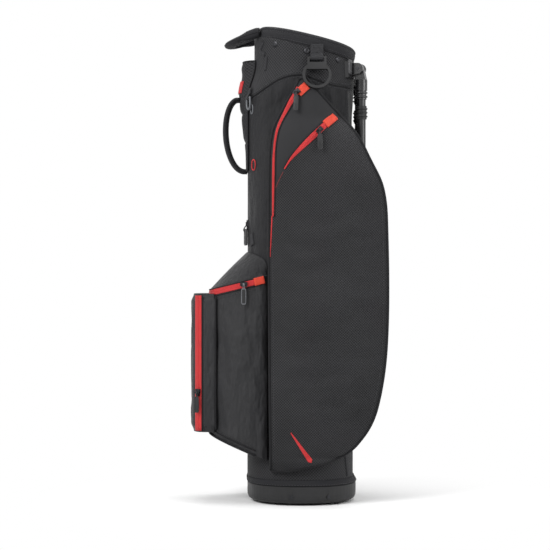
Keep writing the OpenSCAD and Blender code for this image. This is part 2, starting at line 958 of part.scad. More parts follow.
module strap_ring() {
    drop = 12;
    color(metal)
        translate([strap_loop_r, 0, 0]) {
            pin_y(strap_wire / 2, strap_w);
            for (s = [-1, 1])
                translate([0, s * strap_w / 2, -drop]) {
                    cylinder(d = strap_wire, h = drop);
                    translate([0, 0, drop]) sphere(d = strap_wire);
                }
            translate([0, 0, -drop]) rotate([0, 90, 0]) rotate([0, 0, -90])
                rotate_extrude(angle = 180)
                    translate([strap_w / 2, 0]) circle(d = strap_wire);
        }
}

module upper_strap_tab() {
    on_spine(upper_strap_y, upper_strap_z) strap_tab();
}

module upper_strap_ring() {
    on_spine(upper_strap_y, upper_strap_z) strap_ring();
}

module lower_strap_tab() {
    on_spine(lower_strap_y, lower_strap_z) strap_tab();
}

module lower_strap_ring() {
    on_spine(lower_strap_y, lower_strap_z) strap_ring();
}

// Base

base_half_x = body_half_x + 2;
base_half_y = body_half_y + 2;
base_groove_z = base_h - 5;
heel_gap = 1;
// Rim of the base's floor left in front of the heel plate.
heel_rim = base_wall + 5;
heel_z = foot_h + 6;
heel_pin_d = 5;
heel_barrel_r = 5.5;
heel_lug = 8;

function base_ring(z, inset) =
    [for (p = oval_ring(around, base_half_x - inset, base_half_y - inset)) [p[0], p[1], z]];

module base_shell() {
    cut_w = heel_w + 2 * heel_gap;
    color(plastic)
        difference() {
            union() {
                difference() {
                    loft([
                        base_ring(foot_h, 7), base_ring(foot_h + 2.5, 2.5), base_ring(foot_h + 7, 0.5),
                        base_ring(foot_h + 14, 0), base_ring(base_groove_z - 1, 0),
                        base_ring(base_groove_z, 1), base_ring(base_groove_z + 1, 0),
                        base_ring(base_h, 0), base_ring(base_h, base_wall),
                        base_ring(foot_h + base_floor, base_wall + 2)
                    ]);
                    linear_extrude(2 * (foot_h + base_floor), center = true)
                        intersection() {
                            translate([heel_hinge_x - heel_barrel_r - heel_gap, -cut_w / 2])
                                square([base_half_x, cut_w]);
                            polygon(oval_ring(around, base_half_x - heel_rim, base_half_y - heel_rim));
                        }
                }
                for (s = [-1, 1])
                    translate([heel_hinge_x, s * (cut_w / 2 + heel_lug / 2), heel_z]) {
                        pin_y(heel_barrel_r, heel_lug);
                        translate([-heel_barrel_r, -heel_lug / 2, -heel_z + foot_h + 1])
                            cube([2 * heel_barrel_r, heel_lug, heel_z - foot_h - 1]);
                    }
            }
            translate([heel_hinge_x, 0, heel_z])
                pin_y(heel_pin_d / 2 + pin_gap, cut_w + 2 * heel_lug + 2);
        }
}

module heel_pin() {
    color(metal)
        translate([heel_hinge_x, 0, heel_z]) pin_y(heel_pin_d / 2, heel_w + 2 * heel_gap + 2 * heel_lug);
}

heel_plate_t = 4;
heel_rib_w = 3;
heel_rib_stop = 26;
heel_end = base_half_x - heel_rim - heel_gap;

module heel_plate() {
    color(plastic)
        difference() {
            union() {
                translate([0, 0, foot_h])
                    linear_extrude(heel_plate_t)
                        intersection() {
                            translate([heel_hinge_x, -heel_w / 2])
                                square([heel_end - heel_hinge_x, heel_w]);
                            polygon(oval_ring(around, heel_end, base_half_y - heel_rim - heel_gap));
                        }
                translate([heel_hinge_x, 0, heel_z]) pin_y(heel_barrel_r, heel_w);
                for (y = [-heel_w / 3, 0, heel_w / 3])
                    translate([heel_hinge_x, y - heel_rib_w / 2, foot_h + heel_plate_t / 2])
                        cube([heel_end - heel_hinge_x - heel_rib_stop, heel_rib_w, heel_plate_t]);
            }
            translate([heel_hinge_x, 0, heel_z]) pin_y(heel_pin_d / 2 + pin_gap, heel_w + 2);
        }
}

heel_pad_lift = 0.6;
heel_pad_inset = 4;
heel_pad_l = 12;

module heel_pad() {
    color(rubber)
        translate([heel_end - heel_pad_inset - heel_pad_l, -heel_w / 4, heel_pad_lift])
            cube([heel_pad_l, heel_w / 2, foot_h - heel_pad_lift]);
}

foot_places = [[0, 0], [-42, -74], [-42, 74], [60, -68], [60, 68]];
foot_r = 8;

module base_feet() {
    color(rubber)
        for (p = foot_places)
            translate([p[0], p[1], 0])
                rotate_extrude()
                    polygon([[0, 0], [foot_r - 1, 0], [foot_r, 1], [foot_r, foot_h], [0, foot_h]]);
}

screw_xs = [-20, 47];
screw_d = 7;
screw_t = 1.2;
screw_rise = 12;

module base_screws() {
    z = foot_h + screw_rise;
    color(metal)
        for (s = [-1, 1], x = screw_xs) {
            y = oval_side(x, base_half_y, base_half_x);
            yaw = atan((oval_side(x + 1, base_half_y, base_half_x)
                - oval_side(x - 1, base_half_y, base_half_x)) / 2);
            translate([x, s * (y + seat_gap), z])
                rotate([-90 * s, 0, s * yaw])
                    cylinder(d = screw_d, h = screw_t);
        }
}

// Stand: leg frames have z up from the pivot, x outwards and y along the hinge

pivot_z = rim_height - pivot_drop;
hub_r = 9;
hub_w = 14;
ear_t = 5;
leg_offset = 4;
socket_r = leg_d / 2 + 3;
socket_top = 20;
socket_l = 20;

bracket_t = 5;
bracket_low = 18;
bracket_half_y = pivot_y + hub_w / 2 + ear_t + 12;

// Distance from the bag's axis at which one end of a splayed hub would touch the bracket.
function hub_touch(end) =
    leg_x(pivot_y + end * hub_w / 2 * cos(splay) - hub_r * sin(splay), pivot_z, seat_gap + bracket_t)
    + end * hub_w / 2 * sin(splay) + hub_r * cos(splay);
pivot_x = max(hub_touch(1), hub_touch(-1)) + lug_gap;
bracket_top = rim_z(leg_x(0, pivot_z, seat_gap + bracket_t)) - (collar_h + 2 * seat_gap) / cos(rim_tilt);

module on_leg(side) {
    translate([pivot_x, side * pivot_y, pivot_z]) rotate([0, 0, side * splay]) children();
}

module leg_bracket() {
    steps = 12;
    ys = [for (i = [0 : steps]) mix(-bracket_half_y, bracket_half_y, i / steps)];
    rows = [for (i = [0 : 3]) mix(pivot_z - bracket_low, bracket_top, i / 3)];
    ear_root = leg_x(pivot_y, pivot_z) + 4 - pivot_x;
    color(plastic)
        difference() {
            union() {
                loft([
                    for (z = rows)
                        concat(
                            [for (y = ys) [leg_x(y, z, seat_gap + bracket_t), y, z]],
                            [for (i = [0 : steps]) let (y = ys[steps - i]) [leg_x(y, z, seat_gap), y, z]]
                        )
                ]);
                for (side = [-1, 1])
                    on_leg(side)
                        for (s = [-1, 1])
                            translate([0, s * (hub_w / 2 + lug_gap + ear_t / 2), 0])
                                plate_y(ear_t) {
                                    circle(r = hub_r + 1);
                                    polygon([
                                        [0, hub_r + 1], [ear_root, bracket_top - pivot_z - 1],
                                        [ear_root, -hub_r - 3], [0, -hub_r - 1]
                                    ]);
                                }
            }
            for (side = [-1, 1])
                on_leg(side) pin_y(leg_pin_d / 2 + pin_gap, leg_pin_l);
        }
}

leg_pin_l = hub_w + 2 * (lug_gap + ear_t) + 2;

module leg_pins() {
    color(metal)
        for (side = [-1, 1])
            on_leg(side) pin_y(leg_pin_d / 2, leg_pin_l);
}

// Boot profile with ribs as [radius, height below the socket].
module ribbed_sleeve(r, low, high, ribs, pitch, rib) {
    rotate_extrude()
        difference() {
            union() {
                translate([0, low]) square([r, high - low]);
                for (i = [0 : ribs - 1])
                    translate([r, mix(low, high, 0.5) + (i - (ribs - 1) / 2) * pitch])
                        circle(r = rib, $fn = 24);
            }
            translate([-rib, low - 1]) square([rib + leg_d / 2 + pin_gap, high - low + 2]);
        }
}

boot_l = 16;

module leg_knuckle(side) {
    color(plastic)
        on_leg(side)
            difference() {
                union() {
                    plate_y(hub_w) {
                        circle(r = hub_r);
                        polygon([
                            [-hub_r, 0], [hub_r, 0], [leg_offset + socket_r - 1, -socket_top - 4],
                            [leg_offset - socket_r + 1, -socket_top - 4]
                        ]);
                    }
                    translate([leg_offset, 0, -socket_top - socket_l])
                        cylinder(r = socket_r, h = socket_l);
                    translate([leg_offset, 0, -socket_top - socket_l])
                        ribbed_sleeve(socket_r - 1.5, -boot_l, 1, 2, 7, 2);
                }
                pin_y(leg_pin_d / 2 + pin_gap, hub_w + 2);
                translate([leg_offset, 0, -socket_top - socket_l - boot_l - 1])
                    cylinder(r = leg_d / 2 + pin_gap, h = socket_l - 6 + boot_l);
            }
}

leg_tube_top = socket_top + 10;
foot_l = 42;
tube_wall = 1.5;

module leg_tube(side) {
    color(plastic)
        on_leg(side)
            translate([leg_offset, 0, -leg_l + 6])
                difference() {
                    cylinder(d = leg_d, h = leg_l - 6 - leg_tube_top);
                    translate([0, 0, 3])
                        cylinder(d = leg_d - 2 * tube_wall, h = leg_l - leg_tube_top);
                }
}

clamp_l = 24;
clamp_r = leg_d / 2 + 1.8;
stub_d = 4;
rod_eye_w = 5;
stub_y = clamp_r + 3 + rod_eye_w / 2;

module leg_clamp(side) {
    color(plastic)
        on_leg(side)
            translate([leg_offset, 0, -stub_drop])
                difference() {
                    union() {
                        ribbed_sleeve(clamp_r, -clamp_l / 2, clamp_l / 2, 3, 7, 1.6);
                        translate([0, -side * (leg_d / 2 + 1), 0])
                            rotate([side * 90, 0, 0])
                                cylinder(d = stub_d, h = stub_y - leg_d / 2 + rod_eye_w / 2);
                        translate([0, -side * (stub_y + rod_eye_w / 2 + 0.6), 0])
                            rotate([side * 90, 0, 0]) cylinder(d = stub_d + 4, h = 1.6);
                    }
                    translate([0, 0, -clamp_l]) cylinder(r = leg_d / 2 + pin_gap, h = 2 * clamp_l);
                }
}

module leg_foot(side) {
    r = leg_d / 2;
    color(rubber)
        on_leg(side)
            translate([leg_offset, 0, -leg_l])
                rotate_extrude()
                    polygon(concat(
                        [[0, 5.7], [r + pin_gap, 5.7], [r + pin_gap, foot_l], [r + 1.5, foot_l]],
                        [[r + 2.5, foot_l - 8], [r + 3, 14], [r + 4, 10]],
                        [for (i = [0 : 4]) let (t = i * 22.5) [r - 2 + 6 * cos(t), 6 - 6 * sin(t)]],
                        [[0, 0]]
                    ));
}

module leg_knuckle_near() {
    leg_knuckle(-1);
}

module leg_tube_near() {
    leg_tube(-1);
}

module leg_clamp_near() {
    leg_clamp(-1);
}

module leg_foot_near() {
    leg_foot(-1);
}

module leg_knuckle_far() {
    leg_knuckle(1);
}

module leg_tube_far() {
    leg_tube(1);
}

module leg_clamp_far() {
    leg_clamp(1);
}

module leg_foot_far() {
    leg_foot(1);
}

// Push rods and their yoke

yoke_x = body_half_x - rod_inset;
yoke_y = 13;
yoke_low = foot_h + heel_plate_t + 0.4;
yoke_pin_z = yoke_low + 9;
yoke_pin_d = 4;
rod_eye_r = 4.2;
yoke_ear = 3;
slot_travel = 1.6;
slot_shift = 1;
slot_gap = 1;

// Depth of the body's channel at the base, and the height at which the leaning rods leave it.
channel_gap = 1.5;
channel_depth = rod_inset + body_shift + rod_d / 2 + channel_gap;
rod_top_x = pivot_x + leg_offset * cos(splay) + stub_y * sin(splay);
channel_run = channel_depth * (pivot_z - stub_drop - yoke_pin_z) / (rod_top_x - yoke_x);

module on_rod(side) {
    translate([yoke_x, side * yoke_y, yoke_pin_z]) rotate([0, 0, side * splay]) children();
}

// Upper end of a rod in its own frame.
function rod_end(side) =
    let (
        leg = [pivot_x, side * pivot_y],
        out = [cos(splay), side * sin(splay)],
        along = [-side * sin(splay), cos(splay)],
        at = leg + leg_offset * out - side * stub_y * along,
        d = at - [yoke_x, side * yoke_y]
    )
    [d * out, d * along, pivot_z - stub_drop - yoke_pin_z];

yoke_back = 10;
yoke_front = 5;
yoke_half_y = yoke_y + 9;
yoke_plate_t = 4;

module rod_yoke() {
    ear_y = rod_eye_w / 2 + lug_gap + yoke_ear / 2;
    color(plastic)
        difference() {
            union() {
                translate([yoke_x - yoke_back, -yoke_half_y, yoke_low])
                    cube([yoke_back + yoke_front, 2 * yoke_half_y, yoke_plate_t]);
                for (side = [-1, 1])
                    on_rod(side)
                        for (s = [-1, 1])
                            translate([0, s * ear_y, 0])
                                plate_y(yoke_ear) {
                                    circle(r = rod_eye_r);
                                    translate([-rod_eye_r, -yoke_pin_z + yoke_low + 1])
                                        square([2 * rod_eye_r, yoke_pin_z - yoke_low - 1]);
                                }
            }
            for (side = [-1, 1])
                on_rod(side) pin_y(yoke_pin_d / 2 + pin_gap, rod_eye_w + 2 * (lug_gap + yoke_ear) + 1);
        }
}

module yoke_pins() {
    color(metal)
        for (side = [-1, 1])
            on_rod(side) pin_y(yoke_pin_d / 2, rod_eye_w + 2 * (lug_gap + yoke_ear));
}

// Slotted eye that rides on the leg's stub.
module slot_outline(r) {
    for (s = [-1, 1])
        translate([0, s * slot_travel]) circle(r = r);
    square([2 * r, 2 * slot_travel], center = true);
}

module push_rod(side) {
    eye = rod_end(side) - [0, 0, slot_shift];
    slot_r = stub_d / 2 + slot_gap;
    color(metal)
        on_rod(side)
            difference() {
                union() {
                    pin_y(rod_eye_r, rod_eye_w);
                    bar([0, 0, 0], eye - [0, 0, slot_travel], rod_d / 2);
                    translate(eye) plate_y(rod_eye_w) slot_outline(slot_r + 2);
                }
                pin_y(yoke_pin_d / 2 + pin_gap, rod_eye_w + 2);
                translate(eye) plate_y(rod_eye_w + 2) slot_outline(slot_r);
            }
}

module push_rod_near() {
    push_rod(-1);
}

module push_rod_far() {
    push_rod(1);
}

base_shell();
base_feet();
base_screws();
heel_plate();
heel_pad();
heel_pin();
body_shell();
stay_rods();
long_divider();
near_divider();
far_divider();
top_collar();
collar_padding();
collar_rivets();
lift_handle();
spine_pad();
carry_handle();
side_pocket_near();
side_pocket_far();
ball_pocket();
front_pocket();
upper_zip_tape();
lower_zip_tape();
far_zip_tape();
ball_zip_tape();
front_zip_tape();
upper_zip_slider();
upper_zip_pull();
lower_zip_slider();
lower_zip_pull();
far_zip_slider();
far_zip_pull();
ball_zip_slider();
ball_zip_pull();
front_zip_slider();
front_zip_pull();
towel_strap();
towel_ring();
upper_strap_tab();
upper_strap_ring();
lower_strap_tab();
lower_strap_ring();
leg_bracket();
leg_pins();
rod_yoke();
yoke_pins();
push_rod_near();
push_rod_far();
leg_knuckle_near();
leg_tube_near();
leg_clamp_near();
leg_foot_near();
leg_knuckle_far();
leg_tube_far();
leg_clamp_far();
leg_foot_far();
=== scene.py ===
import json
from math import acos, atan, copysign, cos, exp, pi, radians, sin, tan, tanh

import bmesh
import bpy
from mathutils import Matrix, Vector, noise


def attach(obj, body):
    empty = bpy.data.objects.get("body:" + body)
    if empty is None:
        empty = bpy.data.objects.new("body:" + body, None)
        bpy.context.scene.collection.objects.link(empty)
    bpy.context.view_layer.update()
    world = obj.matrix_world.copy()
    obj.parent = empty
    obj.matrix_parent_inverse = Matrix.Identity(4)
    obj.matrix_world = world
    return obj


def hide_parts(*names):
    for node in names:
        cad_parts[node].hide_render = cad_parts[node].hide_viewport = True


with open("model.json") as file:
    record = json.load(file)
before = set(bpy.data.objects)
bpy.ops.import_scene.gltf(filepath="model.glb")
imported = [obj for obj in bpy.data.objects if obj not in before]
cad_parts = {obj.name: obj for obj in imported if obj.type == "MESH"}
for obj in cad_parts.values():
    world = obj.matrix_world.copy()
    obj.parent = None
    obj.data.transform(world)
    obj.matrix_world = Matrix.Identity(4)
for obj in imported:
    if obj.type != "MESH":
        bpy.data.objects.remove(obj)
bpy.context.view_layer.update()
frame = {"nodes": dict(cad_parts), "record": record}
MM = 0.001

# Sizes of the bag in millimetres, as in the part's source

BODY_HALF_X, BODY_HALF_Y, BODY_WALL = 98, 104, 3
BODY_SHIFT, NECK_SHIFT, NECK_IN, NECK_RUN = -2, 6, 7, 60
RIM_HEIGHT, RIM_TILT, RIM_SHIFT = 849, radians(13.5), 11
COLLAR_H, COLLAR_PAD, BASE_H = 22, 7, 40
CHANNEL_DEPTH, CHANNEL_RUN, CHANNEL_HALF, CHANNEL_EDGE = 17, 389, 20, 9
OVAL_POWER = 2.3
SEAT_GAP, POCKET_GAP = 0.4, 2
RIM_HALF_X, RIM_HALF_Y = BODY_HALF_X - NECK_IN + 2, BODY_HALF_Y - NECK_IN
NECK_TOP = RIM_HEIGHT - (BODY_HALF_X + NECK_SHIFT) * tan(RIM_TILT) - COLLAR_H / cos(RIM_TILT) - 2
NECK_LOW = NECK_TOP - NECK_RUN
SIDE_TOP, SIDE_LOW, SIDE_REACH, SIDE_BACK = RIM_HEIGHT - 79, 62, 151, 59
SIDE_SWELL, SIDE_EDGE, SIDE_TIP, SIDE_POWER, WING_Y = 24, 30, 5, 2.4, 80
SIDE_FRONT_EDGE = [
    (0, -0.2), (0.03, 0.39), (0.085, 0.71), (0.165, 0.89), (0.33, 1), (0.63, 1),
    (0.72, 0.95), (0.79, 0.8), (0.858, 0.63), (0.93, 0.32), (1, 0.03),
]
SIDE_BACK_EDGE = [
    (0, 0.96), (0.3, 1), (0.76, 1), (0.857, 0.9), (0.92, 0.56), (0.97, 0.22), (1, 0.06),
]
BALL_REACH, BALL_FRONT, BALL_HALF_Y = 173, 63, 103
BALL_DEEP = BALL_REACH - BALL_FRONT
BALL_LOW, BALL_FRONT_LOW, BALL_ZIP_Z, BALL_ZIP_RISE = 128, 81, 386, 27
BALL_CROWN, BALL_POWER, LID_RISE, BALL_ZIP_V, BALL_HEM = 4, 3.2, 53, 0.955, 1
BALL_SLIDER_X = -BALL_FRONT - 42
FRONT_T, FRONT_HALF_Y, FRONT_BACK, FRONT_POWER = 30, 80, 160, 4
FRONT_DEEP = BALL_REACH + FRONT_T - FRONT_BACK
FRONT_LOW, FRONT_HIGH, FRONT_ROUND = BALL_LOW + 2, BALL_ZIP_Z - 6, 5
FRONT_ZIP_X, FRONT_SLIDER_Z = 16 - BALL_REACH - FRONT_T, 202
TAPE_W, TAPE_T, TAPE_GAP = 9, 1.2, 0.6
PULL_Z, PULL_L, PULL_W, PULL_NECK = 6, 36, 9, 7.2
UPPER_ZIP_DROP, UPPER_ZIP_RUN, UPPER_ZIP_INSET = 22, 230, 3
LOWER_ZIP = [(-32, 168), (-22, 152), (-8, 136), (12, 116), (34, 95), (50, 79)]
PAD_TOP, PAD_LOW, PAD_HALF_Y = RIM_HEIGHT - 43, RIM_HEIGHT - 243, 34
PAD_SWELL = [
    (0, 1.5), (0.2, 3), (0.4, 7), (0.6, 12), (0.72, 15.5), (0.85, 18), (0.95, 22), (1, 20),
]
# Sewn channels of the spine pad, above its lower end
PAD_SEAMS = (52, 104, 134)
HANDLE_ROOT, HANDLE_SEWN_IN = 2, 3
LIFT_REACH, LIFT_SPAN, LIFT_W, LIFT_T, LIFT_DROP, LIFT_FALL = 52, 45, 20, 18, 12, 18
CARRY_REACH, CARRY_HALF, CARRY_W, CARRY_T, CARRY_Z = 30, 66, 32, 11, RIM_HEIGHT - 178
TOWEL_X, TOWEL_DROP, TOWEL_SLOT_W, TOWEL_LOOP_R = 26, 40, 26, 4.5
STRAP_LOOP_R, STRAP_W, WEB_T = 3.9, 18, 1.5
UPPER_STRAP_Y, UPPER_STRAP_Z = -46, RIM_HEIGHT - 112
LOWER_STRAP_Y, LOWER_STRAP_Z = -20, BALL_ZIP_Z + BALL_ZIP_RISE + LID_RISE + 31
PIVOT_Z, BRACKET_T = RIM_HEIGHT - 59, 5
# Lower edge of the mesh cuff as (x, z), from the spine to the legs, and top of the mesh skirt
CUFF_SEAM = [(-104, 733), (-80, 743), (-46, 765), (-24, 772), (0, 772), (50, 757), (100, 755)]
SKIRT_TOP = 140
# Height of a stitch above its cloth
SEWN = 0.2
NEAR, FAR = -1, 1
SPINE, LEGS = -1, 1


# Curves and surfaces of the bag

def mix(a, b, t):
    return a + (b - a) * t


def clamp01(t):
    return min(1, max(0, t))


def smooth(t):
    u = clamp01(t)
    return u * u * (3 - 2 * u)


def bell(t, width):
    return exp(-(t / width) ** 2)


def steps(count):
    """Shares from 0 to 1."""
    return [i / count for i in range(count + 1)]


def eased(count):
    """Shares from 0 to 1, closer together at both ends."""
    return [0.5 - 0.5 * cos(pi * s) for s in steps(count)]


def between(a, b, count):
    return [mix(a, b, s) for s in steps(count)]


def turns(count, phase=0.0):
    """Angles of one full turn."""
    return [2 * pi * (i + phase) / count for i in range(count)]


def curve(t, points):
    """Smooth curve through (position, value) points."""
    last = len(points) - 1
    i = next((k for k in range(last - 1) if t <= points[k + 1][0]), last - 1)

    def slope(k):
        (a, low), (b, high) = points[max(k - 1, 0)], points[min(k + 1, last)]
        return (high - low) / (b - a)

    (a, low), (b, high) = points[i:i + 2]
    s = (t - a) / (b - a)
    bend = (1 - s) * slope(i) - s * slope(i + 1)
    return mix(low, high, s * s * (3 - 2 * s)) + s * (1 - s) * (b - a) * bend


def oval(t, a, b, power=OVAL_POWER):
    """Point of an oval with half widths a and b at angle t."""
    c, s = cos(t), sin(t)
    return a * copysign(abs(c) ** (2 / power), c), b * copysign(abs(s) ** (2 / power), s)


def ovals(count, a, b, power=OVAL_POWER, phase=0.0):
    return [oval(t, a, b, power) for t in turns(count, phase)]


def oval_side(y, a, b, power=OVAL_POWER):
    return a * (1 - clamp01(abs(y) / b) ** power) ** (1 / power)


def ripple(x, y, z, size, depth):
    """Soft irregular rise and fall of cloth, from 0 to depth."""
    n = noise.noise(Vector((x / size, y / size, z / size)))
    return depth * (0.5 + 0.5 * n)


def tube_at(z, gap=0.0):
    """Middle and both half widths of the body at a height."""
    neck = smooth((z - NECK_LOW) / NECK_RUN)
    drawn = NECK_IN * neck
    return BODY_SHIFT + NECK_SHIFT * neck, BODY_HALF_X - drawn + gap, BODY_HALF_Y - drawn + gap


def body_x(end, y, z, gap=0.0):
    """Length at which the body's outside lies, towards its spine or its legs."""
    middle, a, b = tube_at(z, gap)
    return middle + end * oval_side(y, a, b)


def body_y(x, z, gap=0.0):
    middle, a, b = tube_at(z, gap)
    return oval_side(x - middle, b, a)


def rim_z(x, below=0.0):
    return RIM_HEIGHT - x * tan(RIM_TILT) - below / cos(RIM_TILT)


def cuff_z(x):
    return curve(x, CUFF_SEAM)


def on_rim(x, y, z):
    """Point of the sloping rim plane's frame."""
    c, s = cos(RIM_TILT), sin(RIM_TILT)
    return x * c + z * s, y, RIM_HEIGHT - x * s + z * c


def channel(y, z):
    """Depth of the body's channel for the push rods."""
    fade = clamp01(1 - (z - BASE_H) / CHANNEL_RUN)
    return CHANNEL_DEPTH * fade * (1 - smooth((abs(y) - CHANNEL_HALF) / CHANNEL_EDGE))


def side_span(z):
    """Lengths of the side pocket's back and front edge."""
    v = clamp01((z - SIDE_LOW) / (SIDE_TOP - SIDE_LOW))
    return -SIDE_BACK * curve(v, SIDE_BACK_EDGE), SIDE_REACH * curve(v, SIDE_FRONT_EDGE)


def side_inner_y(x, z):
    return max(body_y(x, z, POCKET_GAP), WING_Y)


def side_outer_y(x, z):
    back, front = side_span(z)
    width = front - back
    u = clamp01((x - back) / width)
    full = smooth(width / (SIDE_REACH + SIDE_BACK))
    gusset = mix(SIDE_TIP, SIDE_EDGE, full)
    crown = SIDE_SWELL * full * (1 - abs(2 * u - 1) ** SIDE_POWER)
    return mix(side_inner_y(back, z), side_inner_y(front, z), u) + gusset + crown


def side_slack(x, z):
    """Share from 0 to 1 of how free the pocket's cloth is, none at its edges and near its zips."""
    back, front = side_span(z)
    u = (x - back) / max(front - back, 1)
    zips_low, fade, hem = 600, 110, 60
    across = smooth(5 * u) * smooth(5 * (1 - u))
    return across * smooth((zips_low - z) / fade) * smooth((z - SIDE_LOW) / hem)


def side_sag(x, z):
    """How far the pocket's slack cloth hangs in from its fullest shape."""
    return side_slack(x, z) * (ripple(x, 0, z, 90, 4.5) + ripple(x * 0.6, 40, z * 1.5, 34, 1.6))


def ball_span(x):
    """Heights of the ball pocket's lower and upper edge."""
    share = clamp01((-x - BALL_FRONT) / BALL_DEEP)
    return mix(BALL_FRONT_LOW, BALL_LOW, share), BALL_ZIP_Z + BALL_ZIP_RISE * (1 - share)


def ball_share(x, z):
    low, high = ball_span(x)
    return (z - low) / (high - low)


def ball_swell(v):
    return BALL_CROWN * (sin(pi * clamp01(v)) - 1)


def ball_outer(t, v, gap=0.0):
    grow = ball_swell(v) + gap
    x, y = oval(t, BALL_DEEP + grow, BALL_HALF_Y + grow, BALL_POWER)
    return -BALL_FRONT - x, y


def ball_front_x(y):
    return -BALL_FRONT - oval_side(y, BALL_DEEP, BALL_HALF_Y, BALL_POWER)


def front_outer_y(x):
    return oval_side(x + FRONT_BACK, FRONT_HALF_Y, FRONT_DEEP, FRONT_POWER)


def pad_x(y, z):
    v = clamp01((z - PAD_LOW) / (PAD_TOP - PAD_LOW))
    swell = (curve(v, PAD_SWELL) - 1) * (1 - clamp01(abs(y) / PAD_HALF_Y) ** 3)
    return body_x(SPINE, y, z, SEAT_GAP) - 2 - swell


class Face:
    """A surface of the bag over two coordinates, with its direction away from the bag's axis."""

    def __init__(self, point):
        self.point = point

    def out(self, a, b):
        step = 0.5
        along_a = Vector(self.point(a + step, b)) - Vector(self.point(a - step, b))
        along_b = Vector(self.point(a, b + step)) - Vector(self.point(a, b - step))
        normal = along_a.cross(along_b).normalized()
        p = self.point(a, b)
        return normal if normal.x * p[0] + normal.y * p[1] > 0 else -normal

    def at(self, a, b, lift):
        return Vector(self.point(a, b)) + self.out(a, b) * lift

    def line(self, route, lift):
        return [self.at(a, b, lift) for a, b in route]


def side_face(side):
    return Face(lambda x, z: (x, side * (side_outer_y(x, z) - side_sag(x, z)), z))


NEAR_FACE = side_face(NEAR)
PAD_FACE = Face(lambda y, z: (pad_x(y, z), y, z))
FRONT_FACE = Face(lambda x, z: (x, -front_outer_y(x), z))


# Materials

class Nodes:
    """Makes and links the nodes of one node tree."""

    def __init__(self, tree):
        self.tree = tree

    def node(self, kind, *values, **named):
        """New node, with values or links for its first sockets, and for named sockets and settings."""
        made = self.tree.nodes.new("ShaderNode" + kind)
        for i, value in enumerate(values):
            self.put(made.inputs[i], value)
        for key, value in named.items():
            if hasattr(made, key):
                setattr(made, key, value)
            else:
                self.put(made.inputs[key], value)
        return made

    def put(self, socket, value):
        if isinstance(value, bpy.types.NodeSocket):
            self.tree.links.new(value, socket)
        else:
            socket.default_value = value

    def math(self, operation, a, b=0.0):
        return self.node("Math", a, b, operation=operation).outputs[0]


class Finish(Nodes):
    """One procedural material and the nodes that it is made from."""

    def __init__(self, name, color, rough, metallic=0.0, sheen=0.0, coat=0.0, specular=0.5):
        self.material = bpy.data.materials.new(name)
        self.material.use_nodes = True
        super().__init__(self.material.node_tree)
        self.shader = self.tree.nodes["Principled BSDF"]
        self.color = color
        for key, value in (
            ("Base Color", (*color, 1)), ("Roughness", rough), ("Metallic", metallic),
            ("Specular IOR Level", specular), ("Sheen Weight", sheen), ("Coat Weight", coat),
            ("Coat Roughness", 0.15),
        ):
            self.shader.inputs[key].default_value = value

    def coords(self, kind):
        return self.node("TexCoord").outputs[kind]

    def noise(self, vector, size, detail=4.0):
        return self.node("TexNoise", vector, Scale=1 / size, Detail=detail).outputs[0]

    def stretched(self, scale, size):
        """Noise drawn out along the piece's own directions."""
        vector = self.node("Mapping", self.coords("Object"), Scale=scale).outputs[0]
        return self.noise(vector, size, 3.0)

    def ramp(self, fac, low, high, out_low=0.0, out_high=1.0):
        return self.node("MapRange", fac, low, high, out_low, out_high).outputs[0]

    def patchy(self, fac, low=0.0, high=1.0):
        """Noise as a value from low to high."""
        return self.ramp(fac, 0.3, 0.7, low, high)

    def tint(self, fac, low, high):
        """Base colour between two shades of the material's own colour."""
        made = self.node("Mix", fac, data_type="RGBA")
        for socket, shade in ((6, low), (7, high)):
            made.inputs[socket].default_value = (*[c * shade for c in self.color], 1)
        self.put(self.shader.inputs["Base Color"], made.outputs[2])

    def rough(self, fac):
        self.put(self.shader.inputs["Roughness"], fac)

    def bump(self, height, depth, strength=1.0):
        made = self.node("Bump", Strength=strength, Distance=depth, Height=height)
        self.put(self.shader.inputs["Normal"], made.outputs[0])

    def waves(self, pitch_u, pitch_v):
        """Sine waves along both UV directions, from -1 to 1."""
        parts = self.node("SeparateXYZ", self.coords("UV")).outputs
        return [
            self.math("SINE", self.math("MULTIPLY", parts[k], 2 * pi / pitch))
            for k, pitch in ((0, pitch_u), (1, pitch_v))
        ]

    def weave(self, pitch_u, pitch_v):
        return self.math("MULTIPLY", *self.waves(pitch_u, pitch_v))


def dotted_mesh(name, color, pitch, low, high, yoke=()):
    """Coated fabric with a diagonal dotted mesh, plain above its yoke's lines of x, z and slope."""
    f = Finish(name, color, 0.65, sheen=0.02, specular=0.16)
    dots = f.weave(pitch, pitch)
    if yoke:
        parts = f.node("SeparateXYZ", f.coords("Object")).outputs
        edge = 9.0
        for x, z, slope in yoke:
            line = f.math("ADD", f.math("MULTIPLY", parts[0], slope), (z - slope * x) * MM)
            edge = f.math("MINIMUM", line, edge)
        dots = f.math("MULTIPLY", dots, f.math("LESS_THAN", parts[2], edge))
    worn = f.noise(f.coords("Object"), 0.12)
    fibre = f.noise(f.coords("UV"), 0.0006, 2.0)
    f.tint(f.math("ADD", f.ramp(dots, -0.8, 0.8, 0.05, 0.95), f.patchy(worn, -0.12, 0.12)), low, high)
    f.rough(f.ramp(dots, -1, 1, 0.55, 0.75))
    f.bump(f.math("ADD", dots, f.math("MULTIPLY", fibre, 0.4)), 0.0004)
    return f


